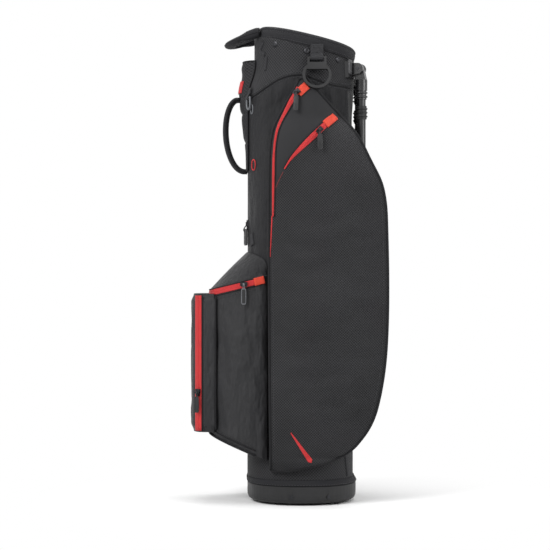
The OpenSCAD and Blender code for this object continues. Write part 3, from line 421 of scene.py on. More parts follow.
def plain_weave(name, color, pitch, rough=0.7, specular=0.16, creases=0.0):
    """Close plain weave with faint wear, and soft upright creases of a given depth."""
    f = Finish(name, color, rough, sheen=0.02, specular=specular)
    weave = f.weave(pitch, pitch)
    worn = f.noise(f.coords("Object"), 0.05)
    f.tint(f.math("ADD", f.ramp(weave, -1, 1, 0.2, 0.6), f.patchy(worn, 0, 0.4)), 0.75, 1.35)
    f.rough(f.patchy(worn, rough - 0.08, rough + 0.1))
    folds = f.math("MULTIPLY", f.stretched((1, 1, 0.45), 0.04), creases)
    f.bump(f.math("ADD", f.math("MULTIPLY", weave, 0.00012), folds), 1.0, 0.8)
    return f


def ribbed_webbing(name, color):
    f = Finish(name, color, 0.65, sheen=0.02, specular=0.2)
    u, v = f.waves(0.0016, 0.0009)
    weave = f.math("MAXIMUM", u, f.math("MULTIPLY", v, 0.7))
    f.tint(f.ramp(weave, -1, 1), 0.6, 1.5)
    f.rough(f.ramp(weave, -1, 1, 0.75, 0.6))
    f.bump(weave, 0.0003)
    return f


def coloured_tape(name, color):
    f = Finish(name, color, 0.55, sheen=0.05, specular=0.25)
    weave = f.weave(0.0010, 0.0012)
    worn = f.noise(f.coords("Object"), 0.02)
    f.tint(f.math("ADD", f.ramp(weave, -1, 1, 0.1, 0.5), f.patchy(worn, 0, 0.5)), 0.8, 1.2)
    f.rough(f.patchy(worn, 0.5, 0.65))
    f.bump(weave, 0.00015)
    return f


def moulded(name, color, rough, specular=0.4, coat=0.0, depth=0.00008):
    """Moulded plastic or rubber with a fine grain."""
    f = Finish(name, color, rough, coat=coat, specular=specular)
    place = f.coords("Object")
    worn = f.noise(place, 0.03)
    f.tint(f.patchy(worn), 0.85, 1.2)
    f.rough(f.patchy(worn, rough - 0.07, rough + 0.09))
    f.bump(f.noise(place, 0.0009, 2.0), depth)
    return f


def brushed(name, color, rough):
    """Plated metal with faint brushing."""
    f = Finish(name, color, rough, metallic=1.0)
    streaks = f.stretched((40, 40, 2), 0.02)
    f.tint(f.patchy(streaks), 0.8, 1.2)
    f.rough(f.patchy(streaks, rough - 0.08, rough + 0.1))
    return f


# Finishes of the record's material slots, then more for the sewn details
POCKET_YOKE = ((-34, 597, 1.09), (-34, 597, 3.25))
MATERIALS = {name: recipe(name, *values).material for recipe, name, *values in (
    (dotted_mesh, "mesh_fabric", (0.0138, 0.0138, 0.015), 0.0054, 0.02, 2.4),
    (plain_weave, "padded_wrap", (0.0125, 0.0125, 0.0142), 0.0008),
    (plain_weave, "soft_shell", (0.0155, 0.0155, 0.0168), 0.0009, 0.55, 0.24, 0.026),
    (plain_weave, "lining", (0.016, 0.016, 0.018), 0.0012),
    (coloured_tape, "red_tape", (0.44, 0.022, 0.024)),
    (ribbed_webbing, "webbing", (0.016, 0.016, 0.018)),
    (moulded, "moulded_plastic", (0.0125, 0.0125, 0.0132), 0.5, 0.3),
    (moulded, "gloss_plastic", (0.01, 0.01, 0.011), 0.28, 0.4, 0.2),
    (moulded, "pull_rubber", (0.015, 0.015, 0.016), 0.5, 0.3),
    (moulded, "grey_plastic", (0.11, 0.115, 0.125), 0.35),
    (moulded, "leg_tube", (0.008, 0.008, 0.009), 0.34, 0.4, 0.15, 0.00003),
    (moulded, "rubber", (0.016, 0.016, 0.017), 0.75, 0.25),
    (brushed, "dark_metal", (0.035, 0.035, 0.038), 0.42),
    (dotted_mesh, "pocket_mesh", (0.0148, 0.0148, 0.016), 0.0048, 0.2, 2.1, POCKET_YOKE),
    (coloured_tape, "yoke_seam", (0.12, 0.02, 0.02)),
    (plain_weave, "panel_shell", (0.0096, 0.0096, 0.0108), 0.0009, 0.55, 0.18, 0.026),
    (plain_weave, "piping", (0.007, 0.007, 0.008), 0.0007, 0.6),
    (ribbed_webbing, "stitching", (0.045, 0.045, 0.048)),
    (coloured_tape, "bright_patch", (0.58, 0.05, 0.025)),
    (moulded, "bracket_grey", (0.04, 0.04, 0.042), 0.4),
)}


# Mesh builders

def lengths(points):
    """Running length along points, in metres."""
    total, out = 0.0, [0.0]
    for p, q in zip(points, points[1:]):
        total += (Vector(q) - Vector(p)).length * MM
        out.append(total)
    return out


def spread(points, count):
    """Points spread evenly along a smooth line through the given ones."""
    at = lengths(points)
    curves = [[(s, p[k]) for s, p in zip(at, points)] for k in range(len(points[0]))]
    return [tuple(curve(at[-1] * s, c) for c in curves) for s in steps(count - 1)]


def heading(points, i, closed=False):
    """Direction of a line of points at its i-th one."""
    before = points[i - 1] if closed else points[max(i - 1, 0)]
    after = points[(i + 1) % len(points)] if closed else points[min(i + 1, len(points) - 1)]
    return (Vector(after) - Vector(before)).normalized()


def beside(route, i, far):
    """Point at a distance to the side of a flat route's i-th one."""
    ahead = heading(route, i)
    return route[i][0] - ahead.y * far, route[i][1] + ahead.x * far


def patch(rows, loop=False, plan=None):
    """Points, faces and UVs in metres of a surface through closed rows of points in millimetres.

    loop joins the last row to the first, and otherwise both are filled. plan gives a point's own UVs in
    millimetres from the point and its length along the row.
    """
    n, m = len(rows[0]), len(rows)
    verts = [tuple(c * MM for c in p) for row in rows for p in row]
    faces, uvs = [], []
    across = lengths([rows[m // 2][i % n] for i in range(n + 1)])
    along = lengths([rows[j % m][n // 4] for j in range(m + 1)])
    for j in range(m if loop else m - 1):
        for i in range(n):
            k = ((j + 1) % m) * n
            faces.append((j * n + i, j * n + (i + 1) % n, k + (i + 1) % n, k + i))
            for a, b in ((i, j), (i + 1, j), (i + 1, j + 1), (i, j + 1)):
                if plan:
                    u, v = plan(rows[b % m][a % n], across[a] / MM)
                    uvs.append((u * MM, v * MM))
                else:
                    uvs.append((across[a], along[b]))
    if not loop:
        faces += [tuple(reversed(range(n))), tuple((m - 1) * n + i for i in range(n))]
        uvs += [(across[i], 0.0) for i in reversed(range(n))] + [(across[i], 0.0) for i in range(n)]
    return verts, faces, uvs


def new_object(name, mesh, material):
    obj = bpy.data.objects.new(name, mesh)
    bpy.context.scene.collection.objects.link(obj)
    mesh.materials.append(material)
    mesh.shade_smooth()
    return obj


def shape(name, patches, finish):
    """One smooth object of several patches, its faces turned outwards."""
    verts, faces, uvs = [], [], []
    for v, f, u in patches:
        faces += [tuple(i + len(verts) for i in face) for face in f]
        verts += v
        uvs += u
    mesh = bpy.data.meshes.new(name)
    mesh.from_pydata(verts, [], faces)
    layer = mesh.uv_layers.new(name="UVMap")
    layer.data.foreach_set("uv", [c for uv in uvs for c in uv])
    obj = new_object(name, mesh, MATERIALS[finish])
    work = bmesh.new()
    work.from_mesh(mesh)
    bmesh.ops.recalc_face_normals(work, faces=work.faces)
    work.to_mesh(mesh)
    work.free()
    return obj


def dress(obj, node=None, body="bag"):
    """Seats a piece on its body, and hides the CAD node that it stands for."""
    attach(obj, body)
    if node:
        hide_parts(node)
    return obj


def build(name, patches, finish, node=None, body="bag"):
    """A piece of several patches. Its slot is its finish."""
    return dress(shape(name, patches, finish), node, body)


def grid(name, rows, finish, node=None, loop=False, plan=None):
    return build(name, [patch(rows, loop, plan)], finish, node)


def filled(name, node, rows, finish, loop=False, plan=None, cloth=None):
    """Padded piece that stands for a CAD node. cloth holds what its simulation takes."""
    obj = shape(name, [patch(rows, loop, plan)], finish)
    if cloth:
        settle(obj, *cloth)
    dress(obj, node)


def sweep(path, section, up):
    """Rows of a section carried along a path, upright by the up vector."""
    rows = []
    for i, p in enumerate(path):
        ahead = heading(path, i)
        side = Vector(up).cross(ahead).normalized()
        top = ahead.cross(side)
        rows.append([Vector(p) + a * side + b * top for a, b in section(i / (len(path) - 1))])
    return rows


def tube_rows(points, radius, closed=False, count=10):
    """Rows of a round cord along points."""
    rows, normal = [], None
    for i, p in enumerate(points):
        ahead = heading(points, i, closed)
        if normal is None:
            normal = ahead.orthogonal().normalized()
        normal = (normal - ahead * normal.dot(ahead)).normalized()
        side = ahead.cross(normal)
        rows.append([
            Vector(p) + radius * (cos(t) * normal + sin(t) * side) for t in turns(count)
        ])
    return rows


def cord(name, points, radius, closed=False, finish="piping"):
    """Round trim along points, piping unless another finish is given."""
    return grid(name, tube_rows(points, radius, closed), finish, loop=closed)


def block(place, centre, half, power=5.0):
    """Patch of a rounded bar in a local frame, long in its second direction."""
    rows = []
    for s in (-1, -0.98, -0.9, -0.7, 0, 0.7, 0.9, 0.98, 1):
        k = (1 - min(abs(s), 0.995) ** 8) ** (1 / 8)
        rows.append([
            place(centre[0] + a, centre[1] + s * half[1], centre[2] + b)
            for a, b in ovals(14, half[0] * k, half[2] * k, power, 0.5)
        ])
    return patch(rows)


def width_list(width, route):
    return width if isinstance(width, list) else [width] * len(route)


def ribbon(name, route, face, width, thick, finish, lift=0.2, node=None):
    """Band along a route on a face, thinning at its edges. width is a number or one for each point."""
    across = between(-1, 1, 8)
    rows = []
    for i, w in enumerate(width_list(width, route)):
        spots = [(beside(route, i, s * w / 2), s) for s in across]
        under = [face.at(*p, lift) for p, s in spots]
        over = [face.at(*p, lift + thick * (1 - 0.65 * s**6)) for p, s in spots]
        rows.append(under + over[::-1])
    return grid(name, rows, finish, node)


def sew(name, line, pitch=4.6, length=3.2):
    """Row of separate stitches along a line."""
    radius, thin = 0.4, 0.3
    count = max(2, int(lengths(line)[-1] / MM / pitch))
    fine = [Vector(p) for p in spread(line, 4 * count + 1)]
    patches = []
    for k in range(count):
        middle, ahead = fine[4 * k + 2], (fine[4 * k + 4] - fine[4 * k]).normalized()
        path = [middle + ahead * (0.5 * length * s) for s in (-1, -0.8, 0.8, 1)]
        rows = tube_rows(path, radius, count=6)
        for j in (0, 3):
            rows[j] = [path[j] + (q - path[j]) * thin for q in rows[j]]
        patches.append(patch(rows))
    return build(name, patches, "stitching")


# Cloth simulation

def settle(obj, freedom, cap, pressure, spare):
    """Lets a filled piece swell and wrinkle between its sewn lines, by a short cloth simulation.

    freedom gives for each point, in millimetres, how free it is from 0 to 1. spare is the share of
    spare cloth, and cap the furthest that a point moves, in millimetres.
    """
    frames = 20
    mesh = obj.data
    start = [v.co.copy() for v in mesh.vertices]
    free = [clamp01(freedom(*(c / MM for c in co))) for co in start]
    held = obj.vertex_groups.new(name="held")
    for i, f in enumerate(free):
        held.add([i], 1 - f, "REPLACE")
    cloth = obj.modifiers.new("cloth", "CLOTH")
    for key, value in (
        ("quality", 5), ("mass", 0.15), ("vertex_group_mass", "held"), ("bending_stiffness", 0.2),
        ("use_pressure", True), ("uniform_pressure_force", pressure), ("shrink_min", -spare),
    ):
        setattr(cloth.settings, key, value)
    cloth.settings.effector_weights.gravity = 0.2
    cloth.point_cache.frame_start = 1
    cloth.point_cache.frame_end = frames
    scene = bpy.context.scene
    for f in range(1, frames + 1):
        scene.frame_set(f)
    swollen = obj.evaluated_get(bpy.context.evaluated_depsgraph_get()).to_mesh()
    moved = [v.co.copy() for v in swollen.vertices]
    obj.modifiers.remove(cloth)
    obj.vertex_groups.remove(held)
    for i, v in enumerate(mesh.vertices):
        step = moved[i] - start[i]
        far = step.length / MM
        if far > 0.001:
            v.co = start[i] + step * (free[i] * cap * tanh(far / cap) / far)
    scene.frame_set(1)


# Body tube

ARC = 100


def round_point(a, z):
    """Point of the body's outside at an arc position of 100 mm a radian."""
    middle, half_x, half_y = tube_at(z)
    x, y = oval(a / ARC, half_x, half_y)
    return middle + x, y, z


def near_arc(x, z):
    """Arc position on the near side at a length x."""
    middle, half_x, _ = tube_at(z)
    share = max(-1, min(1, (x - middle) / half_x))
    return -ARC * acos(copysign(abs(share) ** (OVAL_POWER / 2), share))


def panel_slack(t, z):
    """How far the body's cloth hangs in, gathered under the cuff on the leg side."""
    x, y, _ = round_point(t * ARC, z)
    below = cuff_z(x) - z
    gather = smooth((110 - below) / 90) * smooth((below - 2) / 14) * smooth(1.5 * cos(t) + 0.2)
    fold = gather * 4 * (0.5 + 0.5 * sin(17 * t + 0.02 * z + sin(5 * t)))
    loose = smooth((below - 4) / 60) * smooth((z - SKIRT_TOP) / 60) * mix(0.2, 1, smooth(1 + cos(t)))
    return fold + loose * (ripple(x, y, z * 0.5, 70, 4) + ripple(x * 1.5, y * 1.5, z * 0.7, 32, 1.4))


def hung_point(a, z):
    """Point of the body's outside as its cloth hangs."""
    x, y, _ = round_point(a, z)
    deep = panel_slack(a / ARC, z)
    return x - deep * cos(a / ARC), y - deep * sin(a / ARC), z


ROUND_FACE = Face(hung_point)


def body_band(name, low, high, finish, count, outer=0.0, inner=1.5, slack=None, node=None):
    """Ring of the body's cloth between two edges given as heights over x."""
    def ring(share, inset):
        points = []
        for t in turns(224, 0.5):
            x = round_point(t * ARC, NECK_LOW)[0]
            z = mix(low(x), high(x), share)
            middle, half_x, half_y = tube_at(z, -inset)
            x, y = oval(t, half_x, half_y)
            deep = slack(t, z) if slack else 0
            x += middle - deep * cos(t)
            y -= deep * sin(t)
            if x > 0:
                x -= channel(y, z)
            points.append((x, y, z))
        return points

    shares = steps(count)
    rows = [ring(s, outer) for s in shares]
    rows += [ring(s, inner) for s in reversed(shares[::4])]
    grid(name, rows, finish, node, loop=True, plan=lambda p, u: (u, p[2]))


def body_cover():
    lining_in = 4

    def low(x):
        return BASE_H + 0.2

    def skirt(x):
        return SKIRT_TOP

    def collar(x):
        return rim_z(x, COLLAR_H + SEAT_GAP)

    body_band("body_panel", skirt, cuff_z, "panel_shell", 120,
              slack=panel_slack, node="body_shell")
    body_band("body_skirt", low, skirt, "mesh_fabric", 24)
    body_band("body_cuff", cuff_z, collar, "mesh_fabric", 20)
    body_band("body_lining", low, collar, "lining", 60,
              1.6 + lining_in, BODY_WALL + lining_in)
    around = [t * ARC for t in turns(180)]
    seam = [ROUND_FACE.at(a, cuff_z(round_point(a, NECK_LOW)[0]), 0.3) for a in around]
    cord("cuff_seam", seam, 1.3, closed=True)
    for name, rise in (("cuff_stitches", 5), ("cuff_stitches_low", -5)):
        line = [ROUND_FACE.at(a, p.z + rise, SEWN) for a, p in zip(around, seam)]
        sew(name, line + line[:1])


def base_trim():
    """Hem of the skirt folded over the base, and a row of stitches below it."""
    def ring(z, out, shift):
        return [(x + shift, y, z) for x, y in ovals(180, BODY_HALF_X + out, BODY_HALF_Y + out)]

    profile = (
        (46, 0.2), (46.5, 0.7), (44, 1.5), (40.8, 2.6), (38, 2.8), (36, 2.7), (35.6, 2.3), (40.5, 2.2),
    )
    rows = [ring(z, out, BODY_SHIFT * smooth((z - 38) / 6)) for z, out in profile]
    grid("base_hem", rows, "padded_wrap", loop=True)
    line = ring(37.4, 2.9, 0)
    sew("base_stitches", line + line[:1], pitch=5.2)


# Collar

def collar_ring(offset, height):
    """Points round the collar at an outward offset and a height above its lower edge."""
    grow = offset - COLLAR_PAD
    ring = ovals(180, RIM_HALF_X + grow, RIM_HALF_Y + grow, phase=0.5)
    return [on_rim(RIM_SHIFT + x, y, height - COLLAR_H) for x, y in ring]


def collar_cushion():
    """Puffed padding with a sewn channel under its top roll."""
    seam, seam_deep = 0.74 * COLLAR_H, 1.4
    rows = []
    for t in turns(30):
        offset, height = oval(t, COLLAR_PAD / 2, COLLAR_H / 2, 2.8)
        offset += COLLAR_PAD / 2
        height += COLLAR_H / 2
        offset -= smooth(4 * cos(t)) * seam_deep * bell(height - seam, 1.3)
        row = collar_ring(offset, height)
        rows.append([(x, y, z + 0.3 * sin(0.11 * y + 0.07 * x)) for x, y, z in row])
    filled("collar_cushion", "collar_padding", rows, "padded_wrap", loop=True)
    cord("collar_piping", collar_ring(1.6, COLLAR_H + 0.2), 1.6, closed=True)
    cord("collar_hem", collar_ring(COLLAR_PAD - 0.6, 0.8), 1.2, closed=True)
    for name, inset, height in (
        ("collar_stitches", 1.2, seam), ("collar_stitches_low", 0.5, 0.2 * COLLAR_H),
    ):
        line = collar_ring(COLLAR_PAD - inset, height)
        sew(name, line + line[:1])


# Dividers

def divider_sheet(node, start, end):
    """Full-length cloth divider, a little slack between its hems."""
    low, half, hang = 66, 0.6, 1.4
    along = Vector((end[0] - start[0], end[1] - start[1], 0))
    along.normalize()
    side = Vector((-along.y, along.x, 0))

    def top_z(x):
        return rim_z(x, COLLAR_H + 1)

    rows = []
    for v in steps(40):
        middle = []
        for u in steps(24):
            x, y = mix(start[0], end[0], u), mix(start[1], end[1], u)
            slack = hang * sin(pi * u) * sin(pi * v) * sin(5 * u + 9 * v)
            middle.append(Vector((x, y, mix(low, top_z(x), v))) + side * slack)
        rows.append([p + side * half for p in middle] + [p - side * half for p in middle[::-1]])
    piece = grid(node + "_cloth", rows, "lining", node=node)
    tall = [top_z(p[0]) - low for p in (start, end)]


def dividers():
    room, leg_room, gap = -BODY_WALL - 8, -BODY_WALL - 24, 3
    back, front = body_x(SPINE, 0, NECK_TOP, room), body_x(LEGS, 0, NECK_TOP, leg_room)
    divider_sheet("long_divider", (back, 0), (front, 0))
    middle = RIM_SHIFT * cos(RIM_TILT) - COLLAR_H * sin(RIM_TILT)
    edge = body_y(middle, NECK_TOP, room)
    for node, side in (("near_divider", NEAR), ("far_divider", FAR)):
        divider_sheet(node, (middle, side * edge), (middle, side * gap))


# Handles and spine pad

def handle(name, ends, reach, fall, section, up, edges, radius):
    """Padded handle that bows out between two ends, with piping along two edges of its section."""
    (x0, y0, z0), (x1, y1, z1) = ends
    path = [(x0 + HANDLE_SEWN_IN, y0, z0)]
    for s, share in zip(steps(60), eased(60)):
        bow = sin(pi * s)
        x = mix(x0, x1, s) - HANDLE_ROOT - (reach - HANDLE_ROOT) * bow
        path.append((x, mix(y0, y1, share), mix(z0, z1, share) - fall * bow))
    path.append((x1 + HANDLE_SEWN_IN, y1, z1))
    rows = sweep(path, section, up)
    filled(name + "_pad", name, rows, "padded_wrap")
    for end, spot in edges:
        line = [row[0] for row in sweep(path, lambda share: [spot], up)]
        cord(f"{name}_edge_{end}", line, radius)
    return rows


def lift_handle():
    tip_t, inset = 11, 0.2
    root = RIM_SHIFT - oval_side(LIFT_SPAN - LIFT_W / 2, RIM_HALF_X, RIM_HALF_Y)
    seat = on_rim(root, LIFT_SPAN, -LIFT_DROP - LIFT_T / 4)
    ends = [(seat[0] - SEAT_GAP, y, seat[2] + LIFT_T / 4) for y in (LIFT_SPAN, -LIFT_SPAN)]

    def section(share):
        tip = smooth(2.6 * sin(pi * share) - 0.6)
        return ovals(24, LIFT_W / 2, mix(LIFT_T, tip_t, tip) / 2, 2.6, 0.5)

    edges = (("inner", (LIFT_W / 2 - inset, 0)), ("outer", (2 * inset - LIFT_W / 2, 0)))
    rows = handle("lift_handle", ends, LIFT_REACH, LIFT_FALL, section, (0, 0, 1), edges, 1.1)
    for end, column in (("inner", 4), ("outer", 7)):
        sew("lift_handle_stitches_" + end, [row[column] for row in rows[6:-6]])


def carry_handle():
    inset = 1.2
    heights = (CARRY_Z + CARRY_HALF, CARRY_Z - CARRY_HALF)
    ends = [(pad_x(0, z + CARRY_T / 2) - SEAT_GAP, 0, z) for z in heights]

    def section(share):
        grip = sin(pi * share) ** 0.6
        return ovals(24, CARRY_T / 2 * (0.85 + 0.15 * grip), CARRY_W / 2 * (0.9 + 0.1 * grip), 2.6, 0.5)

    edges = (("near", (0, CARRY_W / 2 - inset)), ("far", (0, inset - CARRY_W / 2)))
    handle("carry_handle", ends, CARRY_REACH, 0, section, (0, 1, 0), edges, 1.3)


def spine_pad():
    tab_z, tab_y, tab_room, half = 759, -10, 34, PAD_HALF_Y

    def seams(z, width):
        return [bell(z - PAD_LOW - at, width) for at in PAD_SEAMS]

    rows = []
    for z in between(PAD_LOW, PAD_TOP, 110):
        ys = between(half, -half, 40)
        sewn = sum(1.8 * s for s in seams(z, 2.2))
        outer = []
        for y in ys:
            inside = smooth((half - abs(y)) / 6)
            outer.append((pad_x(y, z) + sewn * inside + ripple(0, y, z, 25, 0.6), y, z))
        rows.append(outer + [(body_x(SPINE, y, z, SEAT_GAP), y, z) for y in reversed(ys)])

    def freedom(x, y, z):
        tab = smooth((tab_room - abs(z - tab_z)) / 14)
        outside = smooth((body_x(SPINE, y, z) - x - 3) / 3)
        ends = smooth((z - PAD_LOW) / 12) * smooth((PAD_TOP - z) / 12)
        return outside * ends * smooth((half - abs(y)) / 10) * (1 - max(*seams(z, 5), tab))

    filled("spine_cushion", "spine_pad", rows, "mesh_fabric",
           plan=lambda p, u: (p[1], p[2]), cloth=(freedom, 1.4, 3, 0.02))
    outline = [(half, z) for z in between(PAD_LOW, PAD_TOP, 30)]
    outline += [(y, PAD_TOP) for y in between(half, -half, 16)[1:]]
    outline += [(-half, z) for z in between(PAD_TOP, PAD_LOW, 30)[1:]]
    outline += [(y, PAD_LOW) for y in between(-half, half, 16)[1:-1]]
    cord("spine_binding", [(pad_x(y, z) + 0.6, y, z) for y, z in outline], 1.6, closed=True)
    route = [(tab_y, tab_z + up) for up in (-11, -7, 0, 7, 11)]
    ribbon("spine_tab", route, PAD_FACE, 26, 1.2, "red_tape")


# Side pockets

def side_pocket(side, name, node):
    """Puffed pocket with soft folds, its gusset drawn in behind a bound edge."""
    face = side_face(side)
    rows = []
    for z in (mix(SIDE_LOW, SIDE_TOP, s) for s in eased(96)):
        xs = [mix(*side_span(z), s) for s in eased(50)]
        inner = [(x, side * side_inner_y(x, z), z) for x in reversed(xs)]
        rows.append([face.point(x, z) for x in xs] + inner)

    accent_x, accent_half, accent_top, low_end = -2, 24, 140, 190

    def freedom(x, y, z):
        accent = 1 - smooth((abs(x - accent_x) - accent_half) / 20) * smooth((z - accent_top) / 30)
        outside = smooth((abs(y) - side_inner_y(x, z) - 8) / 10)
        return outside * side_slack(x, z) * (1 - accent * (z < low_end))

    filled(name, node, rows, "pocket_mesh",
           plan=lambda p, u: (p[0], p[2]), cloth=(freedom, 5, 1.2, 0.02))
    heights = between(SIDE_TOP - 1, SIDE_LOW + 1, 110)
    edge = [(side_span(z)[1], z) for z in heights]
    edge += [(side_span(z)[0], z) for z in reversed(heights[1:])]
    cord(name + "_binding", [(x, side * side_outer_y(x, z), z) for x, z in edge], 2.4, closed=True)
    for name_end, end, inset, low, high in (("_front", 1, -8, 150, 640), ("_back", 0, 7, 110, 490)):
        route = [(side_span(z)[end] + inset, z) for z in between(low, high, 60)]
        sew(name + "_stitches" + name_end, face.line(route, SEWN))


# Ball pocket and front pocket

def ball_profile():
    """Outline of the ball pocket as (arc length, x, y) shares, from its front to its side."""
    turn = 0.86
    other = oval_side(turn, 1, 1, BALL_POWER)
    outline = [(oval_side(other * s, 1, 1, BALL_POWER), other * s) for s in steps(80)]
    outline += [(turn * (1 - s), oval_side(turn * (1 - s), 1, 1, BALL_POWER)) for s in steps(80)[1:]]
    flat = [(BALL_DEEP * x, BALL_HALF_Y * y, 0) for x, y in outline]
    return [(at / MM, x, y) for at, (x, y) in zip(lengths(flat), outline)]


BALL_PROFILE = ball_profile()
BALL_ARC = BALL_PROFILE[-1][0]


def ball_point(a, z):
    """Point of the ball pocket's outside at an arc length from its front, minus on the near side."""
    at = min(abs(a), BALL_ARC - 0.001)
    k = next(i for i, p in enumerate(BALL_PROFILE[1:]) if p[0] > at)
    low, high = BALL_PROFILE[k], BALL_PROFILE[k + 1]
    share = (at - low[0]) / (high[0] - low[0])
    x, y = mix(low[1], high[1], share), mix(low[2], high[2], share)
    grow = ball_swell(ball_share(-BALL_FRONT - BALL_DEEP * x, z))
    return -BALL_FRONT - (BALL_DEEP + grow) * x, copysign((BALL_HALF_Y + grow) * y, a), z


def ball_top(a):
    return ball_span(ball_point(a, BALL_ZIP_Z)[0])[1]


BALL_FACE = Face(ball_point)


def ball_pocket():
    """Boxed pocket with a domed lid above its zip."""
    angles = between(pi / 2, -pi / 2, 88)
    inner_half = body_y(-BALL_FRONT, BALL_LOW, SEAT_GAP)
    rows = []
    for v in eased(56):
        outer, inner = [], []
        calm = smooth(6 * v) * smooth((0.9 - v) / 0.3)
        for t in angles:
            x, y = ball_outer(t, v)
            z = mix(*ball_span(x), v)
            sag = ripple(x * 1.6, y * 1.6, z * 0.5, 55, 4.5) + ripple(x * 2, y * 2, z * 0.8, 38, 1.8)
            away = Vector((x + BALL_FRONT, y, 0)).normalized() * (calm * sag)
            outer.append((x - away.x, y - away.y, z))
        for t in reversed(angles):
            y = inner_half * sin(t)
            x = body_x(SPINE, y, BALL_LOW, SEAT_GAP)
            low, high = ball_span(x)
            inner.append((x, y, mix(low, high + LID_RISE * max(cos(t), 0) ** 0.5, v)))
        rows.append(outer + inner)
    for s in steps(12)[1:]:
        lid = []
        for t, p, q in zip(angles, outer, reversed(inner)):
            puff = 1.5 * sin(pi * s) * max(cos(t), 0) ** 0.5
            x, y, z = (mix(a, b, 0.99 * s) for a, b in zip(p, q))
            lid.append((x, y, z + puff))
        rows.append(lid + inner)

    side_y, side_front, side_back = 84, -160, -66

    def freedom(x, y, z):
        v = ball_share(x, z)
        along = smooth((x - side_front) / 20) * smooth((side_back - x) / 25)
        sides = smooth((abs(y) - side_y) / 10) * along
        return sides * smooth(5 * v - 0.4) * smooth((0.86 - v) / 0.2)

    filled("ball_pocket_shell", "ball_pocket", rows, "soft_shell", cloth=(freedom, 5, 1.2, 0.03))
    # Piping with its radius, and stitches without: share of the height, edge, rise above it and lift
    for name, radius, v, edge, rise, lift in (
        ("ball_lid_piping", 1.5, 1, 1, 0, 0.2),
        ("ball_hem", 2.2, 0, 0, 0, 0.4),
        ("ball_hem_upper", 1.2, 0.03, 0, 9, 0.1),
        ("ball_hem_stitches", None, 0.045, 0, 13, 0.1),
        ("ball_zip_stitches", None, BALL_ZIP_V - 0.045, 1, -19, 0.1),
        ("ball_zip_welt", 0.9, BALL_ZIP_V - 0.03, 1, -13.9, -0.2),
    ):
        around = [ball_outer(t, v, lift) for t in angles[2:-2]]
        line = [(x, y, ball_span(x)[edge] + rise) for x, y in around]
        if radius:
            cord(name, line, radius)
        else:
            sew(name, line)


def front_pocket():
    angles = between(pi / 2, -pi / 2, 80)
    rows = []
    for v in eased(60):
        z = mix(FRONT_LOW, FRONT_HIGH, v)
        inset = FRONT_ROUND * (1 - smooth(v / 0.06) * smooth((1 - v) / 0.06))
        outer, inner = [], []
        for t in angles:
            x, y = oval(t, FRONT_DEEP - inset, FRONT_HALF_Y - inset, FRONT_POWER)
            middle = smooth((FRONT_HALF_Y - 16 - abs(y)) / 30)
            sag = middle * ripple(x, y, z * 0.6, 45, 3.0) * smooth(4 * v) * smooth(4 - 4 * v)
            outer.append((-FRONT_BACK - x + sag, y, z))
        for t in reversed(angles):
            y = (FRONT_HALF_Y - inset) * oval(t, 1, 1, FRONT_POWER)[1]
            inner.append((ball_front_x(y) - SEAT_GAP, y, z))
        rows.append(outer + inner)

    face_x, edge = -192, 12

    def freedom(x, y, z):
        v = (z - FRONT_LOW) / (FRONT_HIGH - FRONT_LOW)
        face = smooth((face_x - x) / 6) * smooth((FRONT_HALF_Y - edge - abs(y)) / 24)
        return face * smooth(6 * v) * smooth(6 - 6 * v)

    filled("front_pocket_shell", "front_pocket", rows, "soft_shell",
           cloth=(freedom, 1.2, 1.2, 0.02))
    for side, name in ((NEAR, "near"), (FAR, "far")):
        y = side * (FRONT_HALF_Y - 0.5)
        seam = [(ball_front_x(y) - 1, y, z) for z in between(FRONT_LOW + 4, FRONT_HIGH - 4, 40)]
        cord("front_seam_" + name, seam, 1.4)
    for name, x in (("inner", FRONT_ZIP_X + 10.5), ("outer", FRONT_ZIP_X - 9)):
        route = [(x, z) for z in between(FRONT_LOW + 10, FRONT_HIGH - 10, 30)]
        sew("front_stitches_" + name, FRONT_FACE.line(route, SEWN))


# Zips

def coil(name, line, outward):
    """Coil of a zip: a low ribbed bead along its line."""
    pitch, wide, low = 0.9, 1.3, 0.55
    count = max(12, int(lengths(line)[-1] / MM / pitch))
    fine = spread(line, count)
    rows = []
    for i, p in enumerate(fine):
        out = outward[round(i / (count - 1) * (len(outward) - 1))]
        side = heading(fine, i).cross(out).normalized()
        r = 1.15 if i % 2 else 0.8
        rows.append([
            Vector(p) + side * r * wide * cos(a) + out * r * low * sin(a) for a in turns(8)
        ])
    grid(name, rows, "red_tape")


def zip_band(name, route, face, width, welt=0, sunk=0.0):
    """Coloured tape with its coil, sunk a little if need be, and a welt along one edge."""
    thick = TAPE_T * 0.7
    ribbon(name + "_band", route, face, width, thick, "red_tape", lift=TAPE_GAP, node=name + "_tape")
    line = face.line(route, TAPE_GAP + thick - sunk)
    coil(name + "_coil", line, [face.out(a, b) for a, b in route])
    if welt:
        edge = [beside(route, i, welt * (w / 2 + 1)) for i, w in enumerate(width_list(width, route))]
        cord(name + "_welt", face.line(edge, 0.4), 1.2)


def widths(stops, count):
    """Widths along a route from evenly spaced ones."""
    points = [(i / (len(stops) - 1), w) for i, w in enumerate(stops)]
    return [curve(s, points) for s in steps(count - 1)]


def upper_zip_at(share):
    z = SIDE_TOP - UPPER_ZIP_DROP - UPPER_ZIP_RUN * share**1.6
    return side_span(z)[0] + TAPE_W / 2 + UPPER_ZIP_INSET, z


def lower_zip_at(share):
    x = mix(LOWER_ZIP[-1][0], LOWER_ZIP[0][0], share)
    return x, SIDE_TOP - curve(x, LOWER_ZIP)


